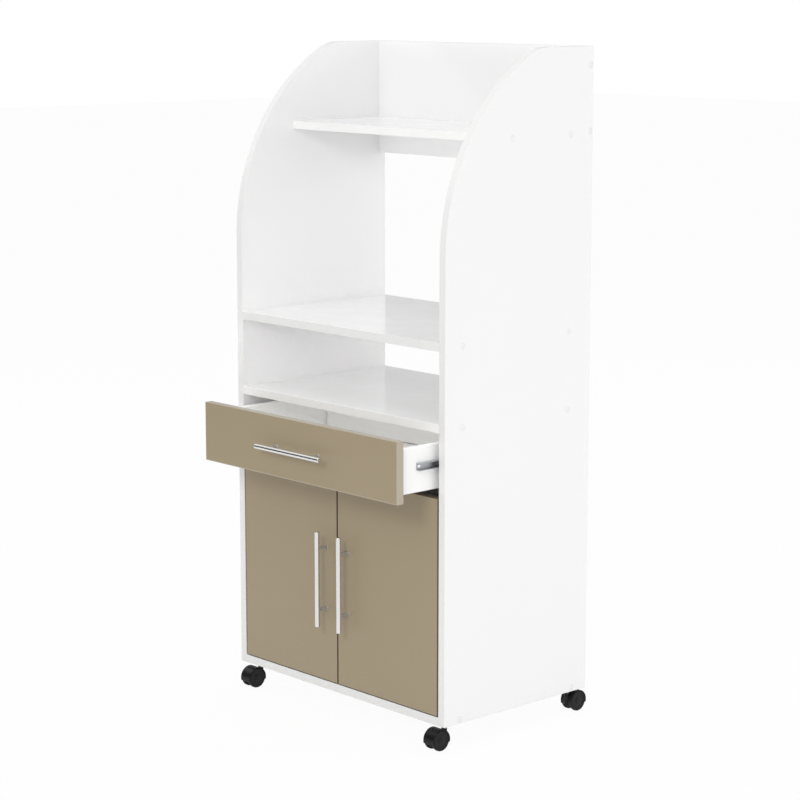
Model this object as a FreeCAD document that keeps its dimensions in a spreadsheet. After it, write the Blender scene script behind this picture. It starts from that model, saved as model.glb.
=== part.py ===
import FreeCAD, Part
import os
from collections import namedtuple

import Sketcher
from FreeCAD import Placement, Rotation, Vector

# Microwave stand on castors: two curved side panels, three shelves, a drawer on ball slides and a
# cupboard with two inset doors on single-pivot cup hinges.
#
# Frame: millimetres, +Z up, front towards -Y, X = 0 in the middle of the stand. The origin is on the
# floor, in the middle of the stand's outline with the drawer at its rest opening.
# The stand is a mirror image of itself about X = 0, so most right-hand pieces mirror left-hand ones.

DOC = FreeCAD.newDocument("MicrowaveStand")

SIZES = {
    # cabinet boards
    "cabinet_width": 600,
    "cabinet_depth": 380,
    "board_thickness": 16,
    "side_height": 1243,
    "curve_radius": 410,
    "curve_drop": 373,
    "curve_blend": 90,
    "lower_shelf_level": 553,
    "microwave_shelf_level": 703,
    "top_shelf_drop": 170,
    "top_shelf_setback": 135,
    "upper_back_height": 227,
    "lower_back_thickness": 3,
    "lower_back_inset": 12,
    "groove_depth": 6,
    "groove_play": 0.2,
    "groove_end_play": 0.5,
    # connecting screws and their caps
    "joint_screw_length": 50,
    "joint_screw_shank_radius": 3.5,
    "joint_screw_thread_radius": 2.5,
    "joint_screw_head_radius": 5,
    "joint_screw_head_height": 3.2,
    "cap_radius": 6,
    "cap_thickness": 1,
    "hole_play": 0.05,
    "bottom_screw_inset": 40,
    "shelf_screw_front": 43,
    "shelf_screw_rear": 60,
    "top_shelf_screw_front": 32,
    "back_screw_drop": 35,
    "back_screw_rise": 69,
    "back_screw_reach": 150,
    # small countersunk screws for slides, hinges and the drawer back
    "small_screw_radius": 1.75,
    "small_screw_head_radius": 3,
    "small_screw_head_height": 1.2,
    "small_screw_length": 10,
    "box_screw_length": 34,
    # doors
    "door_thickness": 16,
    "door_height": 413,
    "door_bottom_gap": 2,
    "door_side_gap": 2.5,
    "door_centre_gap": 3,
    # cup hinges
    "hinge_inset": 80,
    "pivot_inset": 10.5,
    "pivot_depth": 6.8,
    "cup_radius": 17.5,
    "cup_depth": 12.5,
    "cup_wall": 0.8,
    "cup_edge": 4,
    "flange_overlap": 1.5,
    "flange_thickness": 1.2,
    "wing_length": 58,
    "wing_width": 14,
    "wing_screw_reach": 24,
    "ear_thickness": 2.4,
    "ear_half_width": 2.2,
    "pin_radius": 1.15,
    "pin_play": 0.05,
    "eye_radius": 2.15,
    "arm_height": 14,
    "arm_gauge": 2.5,
    "arm_play": 0.6,
    "neck_reach": 12,
    "neck_rise": 14.5,
    "arm_length": 54,
    "plate_thickness": 4,
    "plate_start": 40,
    "plate_length": 32,
    "plate_height": 46,
    "plate_screw_back": 37,
    "plate_screw_reach": 17,
    "arm_screw_back": 47,
    "arm_screw_radius": 2,
    "arm_screw_head_radius": 3.6,
    "arm_screw_head_height": 2,
    # drawer
    "drawer_open": 99,
    "drawer_front_thickness": 16,
    "drawer_front_height": 116,
    "drawer_front_side_gap": 4,
    "drawer_door_gap": 2.5,
    "drawer_side_thickness": 12,
    "drawer_side_length": 290,
    "drawer_side_height": 84,
    "drawer_side_rise": 14.5,
    "drawer_bottom_thickness": 3,
    "drawer_bottom_rise": 15,
    "drawer_groove_depth": 5,
    "cam_radius": 7.5,
    "cam_depth": 8.5,
    "cam_setback": 24,
    "cam_reach": 16,
    "cam_bolt_radius": 2.5,
    "cam_bolt_bite": 11,
    "box_screw_reach": 18,
    # ball slides
    "slide_gap": 13,
    "slide_height": 27,
    "slide_depth": 9,
    "slide_gauge": 1.2,
    "slide_lip": 1.4,
    "slide_length": 250,
    "slide_start": 55,
    "slide_rise": 48,
    "runner_height": 14,
    "runner_clearance": 3,
    "ball_radius": 2.5,
    "ball_play": 0.05,
    "ball_pitch": 12,
    "cage_gauge": 0.7,
    "cage_length": 62,
    "cage_clearance": 0.5,
    "rail_screw_inset": 20,
    "runner_screw_inset": 6,
    # handles
    "handle_length": 188,
    "handle_radius": 5,
    "handle_chamfer": 0.8,
    "handle_spacing": 122,
    "handle_projection": 29,
    "handle_post_radius": 4,
    "handle_offset": 31.5,
    "handle_screw_radius": 2,
    "handle_screw_bite": 9,
    "handle_screw_head_radius": 4,
    "handle_screw_head_height": 2.4,
    # castors
    "castor_height": 50,
    "castor_inset_side": 28,
    "castor_inset_front": 27,
    "castor_inset_rear": 22,
    "castor_trail": 19,
    "wheel_radius": 20,
    "wheel_thickness": 6.5,
    "wheel_chamfer": 1,
    "wheel_dish_radius": 14.5,
    "wheel_dish_depth": 0.6,
    "wheel_cap": 1.5,
    "wheel_side_play": 0.7,
    "axle_radius": 2,
    "axle_play": 0.05,
    "hood_radius": 21.5,
    "hood_wall": 1,
    "hood_width": 28,
    "hood_drop": 6,
    "boss_radius": 6.5,
    "boss_gap": 0.3,
    "stem_radius": 4,
    "stem_play": 0.05,
    "stem_reach": 17,
    "collar_radius": 7,
    "collar_height": 5.7,
    "insert_radius": 5.5,
    "insert_length": 13,
}

# Worked-out places and sizes, all from the values above.
LAYOUT = {
    # outline of the cabinet in the stand's frame
    "left_face": "-Size.cabinet_width / 2",
    "left_inside": "left_face + Size.board_thickness",
    "inside_width": "Size.cabinet_width - 2 * Size.board_thickness",
    "handle_standoff": "Size.handle_projection - Size.handle_radius",
    "front_reach": "Size.drawer_open + Size.handle_projection",
    "rear_reach": "Size.hood_radius + Size.castor_trail - Size.castor_inset_rear",
    "front": "(front_reach - rear_reach - Size.cabinet_depth) / 2",
    "back": "front + Size.cabinet_depth",
    "underside": "Size.castor_height",
    "middle": "Size.cabinet_depth / 2",
    # curved corner of a side panel, from its lower front corner
    "curve_start": "Size.side_height - Size.curve_drop",
    "curve_offset": "Size.curve_radius - Size.curve_blend",
    "blend_rise": "Size.curve_drop - Size.curve_blend",
    "blend_run": "sqrt(curve_offset ^ 2 - blend_rise ^ 2)",
    "blend_centre": "Size.curve_radius - blend_run",
    "tangent_y": "Size.curve_radius * (1 - blend_run / curve_offset)",
    "tangent_z": "curve_start + Size.curve_radius * blend_rise / curve_offset",
    # levels above the floor
    "bottom_z": "underside",
    "lower_shelf_z": "underside + Size.lower_shelf_level",
    "microwave_shelf_z": "underside + Size.microwave_shelf_level",
    "top_z": "underside + Size.side_height",
    "top_shelf_z": "top_z - Size.top_shelf_drop",
    "upper_back_z": "top_z - Size.upper_back_height",
    "half_board": "Size.board_thickness / 2",
    # lower back panel and its grooves
    "lower_back_y": "back - Size.lower_back_inset - Size.lower_back_thickness",
    "groove_y": "lower_back_y - Size.groove_play / 2",
    "groove_width": "Size.lower_back_thickness + Size.groove_play",
    "panel_reach": "Size.groove_depth - Size.groove_end_play",
    "groove_low": "bottom_z + Size.board_thickness - Size.groove_depth",
    "groove_high": "lower_shelf_z + Size.groove_depth",
    # doors
    "door_width": "(inside_width - Size.door_centre_gap) / 2 - Size.door_side_gap",
    "door_x": "left_inside + Size.door_side_gap",
    "door_z": "bottom_z + Size.board_thickness + Size.door_bottom_gap",
    "door_top": "door_z + Size.door_height",
    "door_middle": "door_z + Size.door_height / 2",
    # hinges
    "pivot_x": "door_x + Size.pivot_inset",
    "pivot_y": "front + Size.pivot_depth",
    "cup_x": "door_x + Size.cup_edge + Size.cup_radius",
    "cup_mouth": "front + Size.door_thickness",
    "cup_inner_radius": "Size.cup_radius - Size.cup_wall",
    "flange_radius": "Size.cup_radius + Size.flange_overlap",
    "arm_x": "left_inside + Size.plate_thickness",
    "arm_run": "arm_x - pivot_x",
    "ear_low": "Size.arm_height / 2 + Size.arm_play",
    "ear_floor": "cup_mouth - Size.cup_depth + Size.cup_wall",
    "plate_y": "front + Size.plate_start",
    "plate_screw_y": "cup_mouth + Size.plate_screw_back",
    "arm_screw_y": "cup_mouth + Size.arm_screw_back",
    # drawer
    "drawer_y": "front - Size.drawer_open",
    "drawer_front_z": "door_top + Size.drawer_door_gap",
    "drawer_front_x": "left_inside + Size.drawer_front_side_gap",
    "drawer_box_y": "drawer_y + Size.drawer_front_thickness",
    "drawer_box_end": "drawer_box_y + Size.drawer_side_length",
    "drawer_box_z": "drawer_front_z + Size.drawer_side_rise",
    "drawer_side_x": "left_inside + Size.slide_gap",
    "drawer_inside_x": "drawer_side_x + Size.drawer_side_thickness",
    "drawer_inside_width": "-2 * drawer_inside_x",
    "drawer_bottom_z": "drawer_box_z + Size.drawer_bottom_rise",
    "drawer_groove_z": "drawer_bottom_z - Size.groove_play / 2",
    "drawer_groove_height": "Size.drawer_bottom_thickness + Size.groove_play",
    "drawer_panel_reach": "Size.drawer_groove_depth - Size.groove_end_play",
    "drawer_middle": "drawer_front_z + Size.drawer_front_height / 2",
    "drawer_side_middle": "drawer_box_z + Size.drawer_side_height / 2",
    "drawer_back_y": "drawer_box_end - Size.drawer_side_thickness",
    # slides
    "slide_z": "drawer_box_z + Size.slide_rise",
    "rail_y": "front + Size.slide_start",
    "runner_y": "rail_y - Size.drawer_open",
    "ball_path": "(Size.slide_height / 2 - Size.slide_gauge + Size.runner_height / 2) / 2",
    "ball_x": "left_inside + Size.runner_clearance + Size.ball_radius",
    "cage_y": "rail_y + (Size.slide_length - Size.cage_length - Size.drawer_open) / 2",
    "cage_x": "left_inside + Size.slide_gauge + Size.cage_clearance",
    "cage_depth": "ball_x - cage_x + Size.ball_radius + 2 * Size.cage_gauge",
    # castors
    "wheel_offset": "Size.boss_radius + Size.wheel_side_play",
    "stem_x": "left_face + Size.castor_inset_side",
    "front_stem_y": "front + Size.castor_inset_front",
    "rear_stem_y": "back - Size.castor_inset_rear",
    "collar_z": "underside - Size.collar_height",
    "boss_top": "collar_z - Size.boss_gap",
    "boss_bottom": "Size.wheel_radius - Size.hood_drop",
}

# Directions in which a turned piece, a screw or a drill can point; each turns +Z that way.
TURNS = {
    "+x": Rotation(Vector(0, 1, 0), 90),
    "-x": Rotation(Vector(0, 1, 0), -90),
    "+y": Rotation(Vector(1, 0, 0), -90),
    "-y": Rotation(Vector(1, 0, 0), 90),
    "+z": Rotation(),
    "-z": Rotation(Vector(1, 0, 0), 180),
}

Spot = namedtuple("Spot", "place along")
NODES = {}


# ---------------------------------------------------------------- helpers

def add_sheet(name, cells):
    """Makes a spreadsheet with one named cell for each entry."""
    sheet = DOC.addObject("Spreadsheet::Sheet", name)
    for row, (alias, content) in enumerate(cells.items(), start=1):
        sheet.set(f"A{row}", alias)
        sheet.set(f"B{row}", str(content))
        sheet.setAlias(f"B{row}", alias)
    DOC.recompute()
    return sheet


add_sheet("Size", SIZES)
PLACE = add_sheet("Place", {alias: f"={formula}" for alias, formula in LAYOUT.items()})


def value(expression):
    """Number that an expression of the two sheets gives."""
    return float(PLACE.evalExpression(full_names(expression)))


def full_names(expression):
    """Expression with the sheet's name in front of each worked-out value."""
    words = expression.replace("(", " ( ").replace(")", " ) ").replace("-", " - ").split()
    return " ".join(f"Place.{word}" if word in LAYOUT else word for word in words)


def tie(item, prop, expression):
    """Binds a property to an expression of the two sheets."""
    item.setExpression(prop, full_names(expression))


def put(item, place, turn=None):
    """Places an object, with its position bound to the sheets."""
    if turn:
        item.Placement = Placement(Vector(), TURNS[turn])
    for axis, expression in zip("xyz", place):
        tie(item, f"Placement.Base.{axis}", expression)
    return item


def node(item, label):
    """Names a finished piece and lists it for export."""
    item.Label = label
    NODES[label] = item
    return item


def block(name, size, corner):
    """Box with its three sizes and its low corner bound to the sheets."""
    box = DOC.addObject("Part::Box", name)
    for prop, expression in zip(("Length", "Width", "Height"), size):
        tie(box, prop, expression)
    return put(box, corner)


def rod(name, radius, length, start, along):
    """Cylinder from a start point along a direction."""
    cylinder = DOC.addObject("Part::Cylinder", name)
    tie(cylinder, "Radius", radius)
    tie(cylinder, "Height", length)
    return put(cylinder, start, along)


def compound(name, items):
    """Group of separate shapes."""
    group = DOC.addObject("Part::Compound", name)
    group.Links = items
    return group


def fuse(name, items):
    """Union of the items."""
    union = DOC.addObject("Part::MultiFuse", name)
    union.Shapes = items
    return union


def cut(name, base, tools):
    """Base with the tools cut away."""
    result = DOC.addObject("Part::Cut", name)
    result.Base = base
    result.Tool = tools[0] if len(tools) == 1 else compound(f"{name}_tools", tools)
    return result


def mirror(name, source):
    """Mirror image of a left-hand piece about the middle of the stand."""
    image = DOC.addObject("Part::Mirroring", name)
    image.Source = source
    image.Normal = Vector(1, 0, 0)
    return image


def both_sides(label, left_group):
    """One node with a group of pieces and its mirror image."""
    return node(compound(label, [left_group, mirror(f"{label}_right", left_group)]), label)


def two_sided(label, left):
    """A left-hand piece and its mirror image, as two nodes."""
    node(left, f"{label}_left")
    node(mirror(f"{label}_right", left), f"{label}_right")


def new_sketch(body, role):
    """Sketch on one of the body's own origin planes."""
    sketch = body.newObject("Sketcher::SketchObject", f"{body.Name}_sketch")
    plane = next(item for item in body.Origin.OriginFeatures if item.Role == role)
    sketch.AttachmentSupport = [(plane, "")]
    sketch.MapMode = "FlatFace"
    return sketch


def draw_outline(sketch, corners, arcs=None):
    """Closed outline through the corners, each bound to the sheets.

    arcs gives the number of an edge, counted from its first corner, and its radius and centre.
    The outline runs anticlockwise where it has arcs.
    """
    arcs = arcs or {}
    count = len(corners)
    spots = [Vector(value(x), value(y), 0) for x, y in corners]
    for index, start in enumerate(spots):
        end = spots[(index + 1) % count]
        edge = Part.LineSegment(start, end)
        if index in arcs:
            radius, centre = arcs[index]
            middle = Vector(value(centre[0]), value(centre[1]), 0)
            circle = Part.Circle(middle, Vector(0, 0, 1), value(radius))
            edge = Part.ArcOfCircle(circle, circle.parameter(start), circle.parameter(end))
        sketch.addGeometry(edge, False)
    for index in range(count):
        sketch.addConstraint(Sketcher.Constraint("Coincident", index, 2, (index + 1) % count, 1))
    for index, corner in enumerate(corners):
        for kind, expression in zip(("DistanceX", "DistanceY"), corner):
            bind(sketch, Sketcher.Constraint(kind, -1, 1, index, 1, value(expression)), expression)
    for index, (radius, _) in arcs.items():
        bind(sketch, Sketcher.Constraint("Radius", index, value(radius)), radius)


def bind(sketch, constraint, expression):
    """Adds a constraint whose value is bound to the sheets."""
    number = sketch.addConstraint(constraint)
    tie(sketch, f"Constraints[{number}]", expression)


def padded(name, role, corners, length, arcs=None, reverse=False):
    """Body made by padding an outline drawn on one of its planes."""
    body = DOC.addObject("PartDesign::Body", name)
    sketch = new_sketch(body, role)
    draw_outline(sketch, corners, arcs)
    pad = body.newObject("PartDesign::Pad", f"{name}_pad")
    pad.Profile = sketch
    pad.Reversed = reverse
    tie(pad, "Length", length)
    return body


def turned(name, corners):
    """Body made by turning an outline of (radius, height) corners about its Z axis."""
    body = DOC.addObject("PartDesign::Body", name)
    sketch = new_sketch(body, "XZ_Plane")
    draw_outline(sketch, corners)
    revolution = body.newObject("PartDesign::Revolution", f"{name}_turn")
    revolution.Profile = sketch
    revolution.ReferenceAxis = (sketch, ["V_Axis"])
    revolution.Angle = 360
    return body


def scatter(name, master, spots):
    """Copies of a fastener, head outwards, one at each spot."""
    DOC.recompute()
    copies = []
    for spot in spots:
        shape = master.Shape.copy()
        shape.Placement = Placement(Vector(*map(value, spot.place)), TURNS[spot.along])
        copies.append(shape)
    group = DOC.addObject("Part::Feature", name)
    group.Shape = Part.makeCompound(copies)
    group.Placement = Placement()
    return group


def shifted(spot, distance):
    """The spot moved along its own direction."""
    sign, axis = spot.along
    place = list(spot.place)
    number = "xyz".index(axis)
    place[number] = f"{place[number]} {sign} ( {distance} )"
    return Spot(tuple(place), spot.along)


def drills(name, spots, radius, length, depth="0"):
    """Drills from a depth below each spot, along the spot's direction."""
    moved = [shifted(spot, depth) for spot in spots]
    return [
        rod(f"{name}_{number}", radius, length, spot.place, spot.along)
        for number, spot in enumerate(moved, start=1)
    ]


# ---------------------------------------------------------------- fasteners

def headed_screw(name, head_radius, head_height, shank_radius, length):
    """Plain screw with its head's outer face at the origin, driven along +Z."""
    return turned(name, [
        ("0", "0"),
        (head_radius, "0"),
        (head_radius, head_height),
        (shank_radius, head_height),
        (shank_radius, length),
        ("0", length),
    ])


JOINT_SCREW = turned("joint_screw_master", [
    ("0", "0"),
    ("Size.joint_screw_head_radius", "0"),
    ("Size.joint_screw_head_radius", "Size.joint_screw_head_height"),
    ("Size.joint_screw_shank_radius", "Size.joint_screw_head_height"),
    ("Size.joint_screw_shank_radius", "Size.board_thickness - Size.cap_thickness"),
    ("Size.joint_screw_thread_radius", "Size.board_thickness - Size.cap_thickness"),
    ("Size.joint_screw_thread_radius", "Size.joint_screw_length"),
    ("0", "Size.joint_screw_length"),
])
JOINT_CAP = turned("cap_master", [
    ("0", "0"),
    ("Size.cap_radius", "0"),
    ("Size.cap_radius", "Size.cap_thickness"),
    ("0", "Size.cap_thickness"),
])
SMALL_SCREW = headed_screw("small_screw_master", "Size.small_screw_head_radius",
                           "Size.small_screw_head_height", "Size.small_screw_radius",
                           "Size.small_screw_length")
BOX_SCREW = headed_screw("box_screw_master", "Size.small_screw_head_radius",
                         "Size.small_screw_head_height", "Size.small_screw_radius",
                         "Size.box_screw_length")
PLATE_SCREW = headed_screw("plate_screw_master", "Size.small_screw_head_radius",
                           "Size.small_screw_head_height", "Size.small_screw_radius",
                           "Size.plate_thickness + Size.small_screw_length")
WING_SCREW = headed_screw("wing_screw_master", "Size.small_screw_head_radius",
                          "Size.small_screw_head_height", "Size.small_screw_radius",
                          "Size.flange_thickness + Size.small_screw_length")
ARM_SCREW = headed_screw("arm_screw_master", "Size.arm_screw_head_radius",
                         "Size.arm_screw_head_height", "Size.arm_screw_radius",
                         "Size.arm_screw_head_height + Size.arm_gauge + Size.plate_thickness")
HANDLE_SCREW = headed_screw("handle_screw_master", "Size.handle_screw_head_radius",
                            "Size.handle_screw_head_height", "Size.handle_screw_radius",
                            "Size.handle_screw_head_height + Size.door_thickness"
                            " + Size.handle_screw_bite")


def joint_spots():
    """Where the connecting screws enter the left side panel: their (y, z) on its outer face."""
    bottom = [("front + Size.bottom_screw_inset", "bottom_z + half_board"),
              ("back - Size.bottom_screw_inset", "bottom_z + half_board")]
    shelves = [(y, f"{level} + half_board")
               for level in ("lower_shelf_z", "microwave_shelf_z")
               for y in ("front + Size.shelf_screw_front", "back - Size.shelf_screw_rear")]
    top_front = "front + Size.top_shelf_setback + Size.top_shelf_screw_front"
    top = [(top_front, "top_shelf_z + half_board"),
           ("back - Size.shelf_screw_rear", "top_shelf_z + half_board")]
    upper_back = [("back - half_board", "top_z - Size.back_screw_drop"),
                  ("back - half_board", "upper_back_z + Size.back_screw_rise")]
    return [Spot(("left_face", y, z), "+x") for y, z in bottom + shelves + top + upper_back]


def joint_drills(name, spots):
    """Stepped holes for the connecting screws and their caps, down to the thread's end."""
    head_top = "Size.cap_thickness"
    head = drills(f"{name}_cap_seat", spots, "Size.cap_radius", "Size.cap_thickness")
    head += drills(f"{name}_head_seat", spots, "Size.joint_screw_head_radius + Size.hole_play",
                   "Size.joint_screw_head_height", head_top)
    shank = drills(f"{name}_shank", spots, "Size.joint_screw_shank_radius + Size.hole_play",
                   "Size.board_thickness - Size.cap_thickness", head_top)
    thread = drills(f"{name}_thread", spots, "Size.joint_screw_thread_radius + Size.hole_play",
                    "Size.joint_screw_length + Size.hole_play", head_top)
    return head + shank, thread


SIDE_JOINTS = joint_spots()
BACK_JOINTS = [Spot((x, "back", "top_shelf_z + half_board"), "-y")
               for x in ("-Size.back_screw_reach", "Size.back_screw_reach")]
SEATS, THREADS = joint_drills("side_joint", SIDE_JOINTS)
BACK_SEATS, BACK_THREADS = joint_drills("back_joint", BACK_JOINTS)
SEAT_TOOLS = compound("side_joint_seats", SEATS)
THREAD_TOOLS = compound("side_joint_threads", THREADS)
THREAD_TOOLS_RIGHT = mirror("side_joint_threads_right", THREAD_TOOLS)


# ---------------------------------------------------------------- cabinet

def rail_screw_spots():
    """Where the left cabinet rail is screwed to the side panel."""
    insets = ("Size.rail_screw_inset", "Size.slide_length / 2",
              "Size.slide_length - Size.rail_screw_inset")
    return [Spot(("left_inside + Size.slide_gauge", f"rail_y + {inset}", "slide_z"), "-x")
            for inset in insets]


def hinge_levels():
    """Heights of the lower and upper hinge."""
    return {"lower": "door_z + Size.hinge_inset", "upper": "door_top - Size.hinge_inset"}


def plate_screw_spots():
    """Where the left hinge plates are screwed to the side panel."""
    return [Spot(("left_inside + Size.plate_thickness", "plate_screw_y",
                  f"{level} {sign} Size.plate_screw_reach"), "-x")
            for level in hinge_levels().values() for sign in "-+"]


def side_panels():
    """Both side panels, each with a large curve at its top front corner."""
    outline = [
        ("0", "0"),
        ("Size.cabinet_depth", "0"),
        ("Size.cabinet_depth", "Size.side_height"),
        ("blend_centre", "Size.side_height"),
        ("tangent_y", "tangent_z"),
        ("0", "curve_start"),
    ]
    arcs = {
        3: ("Size.curve_blend", ("blend_centre", "Size.side_height - Size.curve_blend")),
        4: ("Size.curve_radius", ("Size.curve_radius", "curve_start")),
    }
    blank = padded("side_blank", "YZ_Plane", outline, "Size.board_thickness", arcs)
    put(blank, ("left_face", "front", "underside"))
    groove = block("side_groove", ("Size.groove_depth", "groove_width", "groove_high - groove_low"),
                   ("left_inside - Size.groove_depth", "groove_y", "groove_low"))
    pilots = drills("rail_pilot", rail_screw_spots(), "Size.small_screw_radius + Size.hole_play",
                    "Size.small_screw_length + Size.hole_play")
    pilots += drills("plate_pilot", plate_screw_spots(), "Size.small_screw_radius + Size.hole_play",
                     "Size.plate_thickness + Size.small_screw_length + Size.hole_play")
    panel = cut("side_panel_left", blank, [SEAT_TOOLS, groove] + pilots)
    two_sided("side_panel", panel)


def cabinet_board(label, start, depth, level, height, extra):
    """Board between the side panels, drilled in its ends for the connecting screws."""
    blank = block(f"{label}_blank", ("inside_width", depth, height), ("left_inside", start, level))
    node(cut(label, blank, [THREAD_TOOLS, THREAD_TOOLS_RIGHT] + extra), label)


def boards():
    """Bottom panel, shelves and the two back panels."""
    groove_size = ("inside_width", "groove_width", "Size.groove_depth")
    low_groove = block("bottom_groove", groove_size, ("left_inside", "groove_y", "groove_low"))
    high_groove = block("shelf_groove", groove_size, ("left_inside", "groove_y", "lower_shelf_z"))
    insert_holes = drills("insert_hole", castor_spots(), "Size.insert_radius", "Size.insert_length")
    full = ("front", "Size.cabinet_depth")
    cabinet_board("bottom_panel", *full, "bottom_z", "Size.board_thickness",
                  [low_groove] + insert_holes)
    cabinet_board("lower_shelf", *full, "lower_shelf_z", "Size.board_thickness", [high_groove])
    cabinet_board("microwave_shelf", *full, "microwave_shelf_z", "Size.board_thickness", [])
    top_depth = "Size.cabinet_depth - Size.top_shelf_setback - Size.board_thickness"
    cabinet_board("top_shelf", "front + Size.top_shelf_setback", top_depth, "top_shelf_z",
                  "Size.board_thickness", BACK_THREADS)
    cabinet_board("upper_back_panel", "back - Size.board_thickness", "Size.board_thickness",
                  "upper_back_z", "Size.upper_back_height", BACK_SEATS)
    node(block("lower_back_panel",
               ("inside_width + 2 * panel_reach", "Size.lower_back_thickness",
                "lower_shelf_z - bottom_z - Size.board_thickness + 2 * panel_reach"),
               ("left_inside - panel_reach", "lower_back_y",
                "bottom_z + Size.board_thickness - panel_reach")), "lower_back_panel")


def joint_fasteners():
    """Connecting screws of the boards and the caps over their heads."""
    all_seats = [shifted(spot, "Size.cap_thickness") for spot in SIDE_JOINTS]
    back_seats = [shifted(spot, "Size.cap_thickness") for spot in BACK_JOINTS]
    for label, master, side, rear in (("panel_screws", JOINT_SCREW, all_seats, back_seats),
                                      ("screw_caps", JOINT_CAP, SIDE_JOINTS, BACK_JOINTS)):
        left = scatter(f"{label}_left", master, side)
        right = mirror(f"{label}_right", left)
        node(compound(label, [left, right, scatter(f"{label}_rear", master, rear)]), label)


# ---------------------------------------------------------------- drawer slides

def channel(name, near, far, half, gauge, length, lip=None):
    """Channel along +Y with its web at near and its legs reaching far, half its height up and down."""
    web = f"{near} + ( {gauge} )"
    inner = f"{half} - ( {gauge} )"
    upper = [(far, half), (near, half)]
    lower = [(near, f"-( {half} )"), (far, f"-( {half} )")]
    if lip:
        edge = f"{far} - ( {gauge} )"
        tip = f"{inner} - ( {lip} )"
        lower += [(far, f"-( {tip} )"), (edge, f"-( {tip} )"), (edge, f"-( {inner} )")]
        upper = [(edge, inner), (edge, tip), (far, tip)] + upper
    else:
        lower += [(far, f"-( {inner} )")]
        upper = [(far, inner)] + upper
    corners = lower + [(web, f"-( {inner} )"), (web, inner)] + upper
    return padded(name, "XZ_Plane", corners, length, reverse=True)


def slide_rails():
    """Channel rails screwed inside the side panels."""
    rail = channel("rail_blank", "0", "Size.slide_depth", "Size.slide_height / 2",
                   "Size.slide_gauge", "Size.slide_length", "Size.slide_lip")
    put(rail, ("left_inside", "rail_y", "slide_z"))
    holes = drills("rail_seat", rail_screw_spots(), "Size.small_screw_head_radius",
                   "Size.slide_gauge")
    two_sided("slide_rail", cut("slide_rail_left", rail, holes))


def runner_screw_spots():
    """Where the left runner is screwed to the drawer side."""
    insets = ("Size.runner_screw_inset", "Size.slide_length / 2",
              "Size.slide_length - Size.runner_screw_inset")
    return [Spot(("drawer_side_x - Size.slide_gauge", f"runner_y + {inset}", "slide_z"), "+x")
            for inset in insets]


def runners():
    """Channel runners screwed to the drawer sides, open towards the rails."""
    half = "Size.runner_height / 2"
    inner = f"{half} - Size.slide_gauge"
    reach = "Size.runner_clearance - Size.slide_gap"
    corners = [
        ("0", f"-( {half} )"), ("0", half), (reach, half), (reach, inner),
        ("-Size.slide_gauge", inner), ("-Size.slide_gauge", f"-( {inner} )"),
        (reach, f"-( {inner} )"), (reach, f"-( {half} )"),
    ]
    blank = padded("runner_blank", "XZ_Plane", corners, "Size.slide_length", reverse=True)
    put(blank, ("drawer_side_x", "runner_y", "slide_z"))
    holes = drills("runner_seat", runner_screw_spots(), "Size.small_screw_head_radius",
                   "Size.slide_gauge")
    two_sided("drawer_runner", cut("drawer_runner_left", blank, holes))
    both_sides("drawer_runner_screws",
               scatter("runner_screws_left", SMALL_SCREW, runner_screw_spots()))


def ball_cages():
    """Cages that hold two rows of balls between rail and runner; they travel half as far."""
    half = "ball_path + Size.cage_gauge / 2"
    blank = channel("cage_blank", "0", "cage_depth", half, "Size.cage_gauge", "Size.cage_length")
    put(blank, ("cage_x", "cage_y", "slide_z"))
    count = int((value("Size.cage_length") - 2 * value("Size.ball_radius"))
                // value("Size.ball_pitch")) + 1
    row = f"( Size.cage_length - {count - 1} * Size.ball_pitch ) / 2"
    holes = []
    balls = []
    for number in range(count):
        y = f"cage_y + {row} + {number} * Size.ball_pitch"
        holes.append(rod(f"cage_hole_{number}", "Size.ball_radius + Size.ball_play",
                         f"2 * ( {half} )", ("ball_x", y, f"slide_z - ( {half} )"), "+z"))
        for sign in "-+":
            ball = DOC.addObject("Part::Sphere", f"ball_{number}")
            tie(ball, "Radius", "Size.ball_radius")
            balls.append(put(ball, ("ball_x", y, f"slide_z {sign} ball_path")))
    cage = cut("cage_left", blank, holes)
    two_sided("ball_cage", compound("ball_cage_left", [cage] + balls))


# ---------------------------------------------------------------- drawer

def cam_spots():
    """Centres of the left drawer side's cams, on its inner face."""
    return [Spot(("drawer_inside_x", "drawer_box_y + Size.cam_setback",
                  f"drawer_side_middle {sign} Size.cam_reach"), "-x") for sign in "-+"]


def cam_bolt_spots():
    """Where the left cam bolts start inside the drawer front."""
    return [Spot(("drawer_side_x + Size.drawer_side_thickness / 2",
                  "drawer_box_y - Size.cam_bolt_bite",
                  f"drawer_side_middle {sign} Size.cam_reach"), "+y") for sign in "-+"]


def box_screw_spots():
    """Where screws go through the left drawer side into the drawer back."""
    return [Spot(("drawer_side_x", "drawer_box_end - Size.drawer_side_thickness / 2",
                  f"drawer_side_middle {sign} Size.box_screw_reach"), "+x") for sign in "-+"]


CAM_BOLT_LENGTH = "Size.cam_bolt_bite + Size.cam_setback - Size.cam_radius"


def cam_seats():
    """Pockets for the cams in the left drawer side."""
    return drills("cam_seat", cam_spots(), "Size.cam_radius", "Size.cam_depth")


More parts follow.
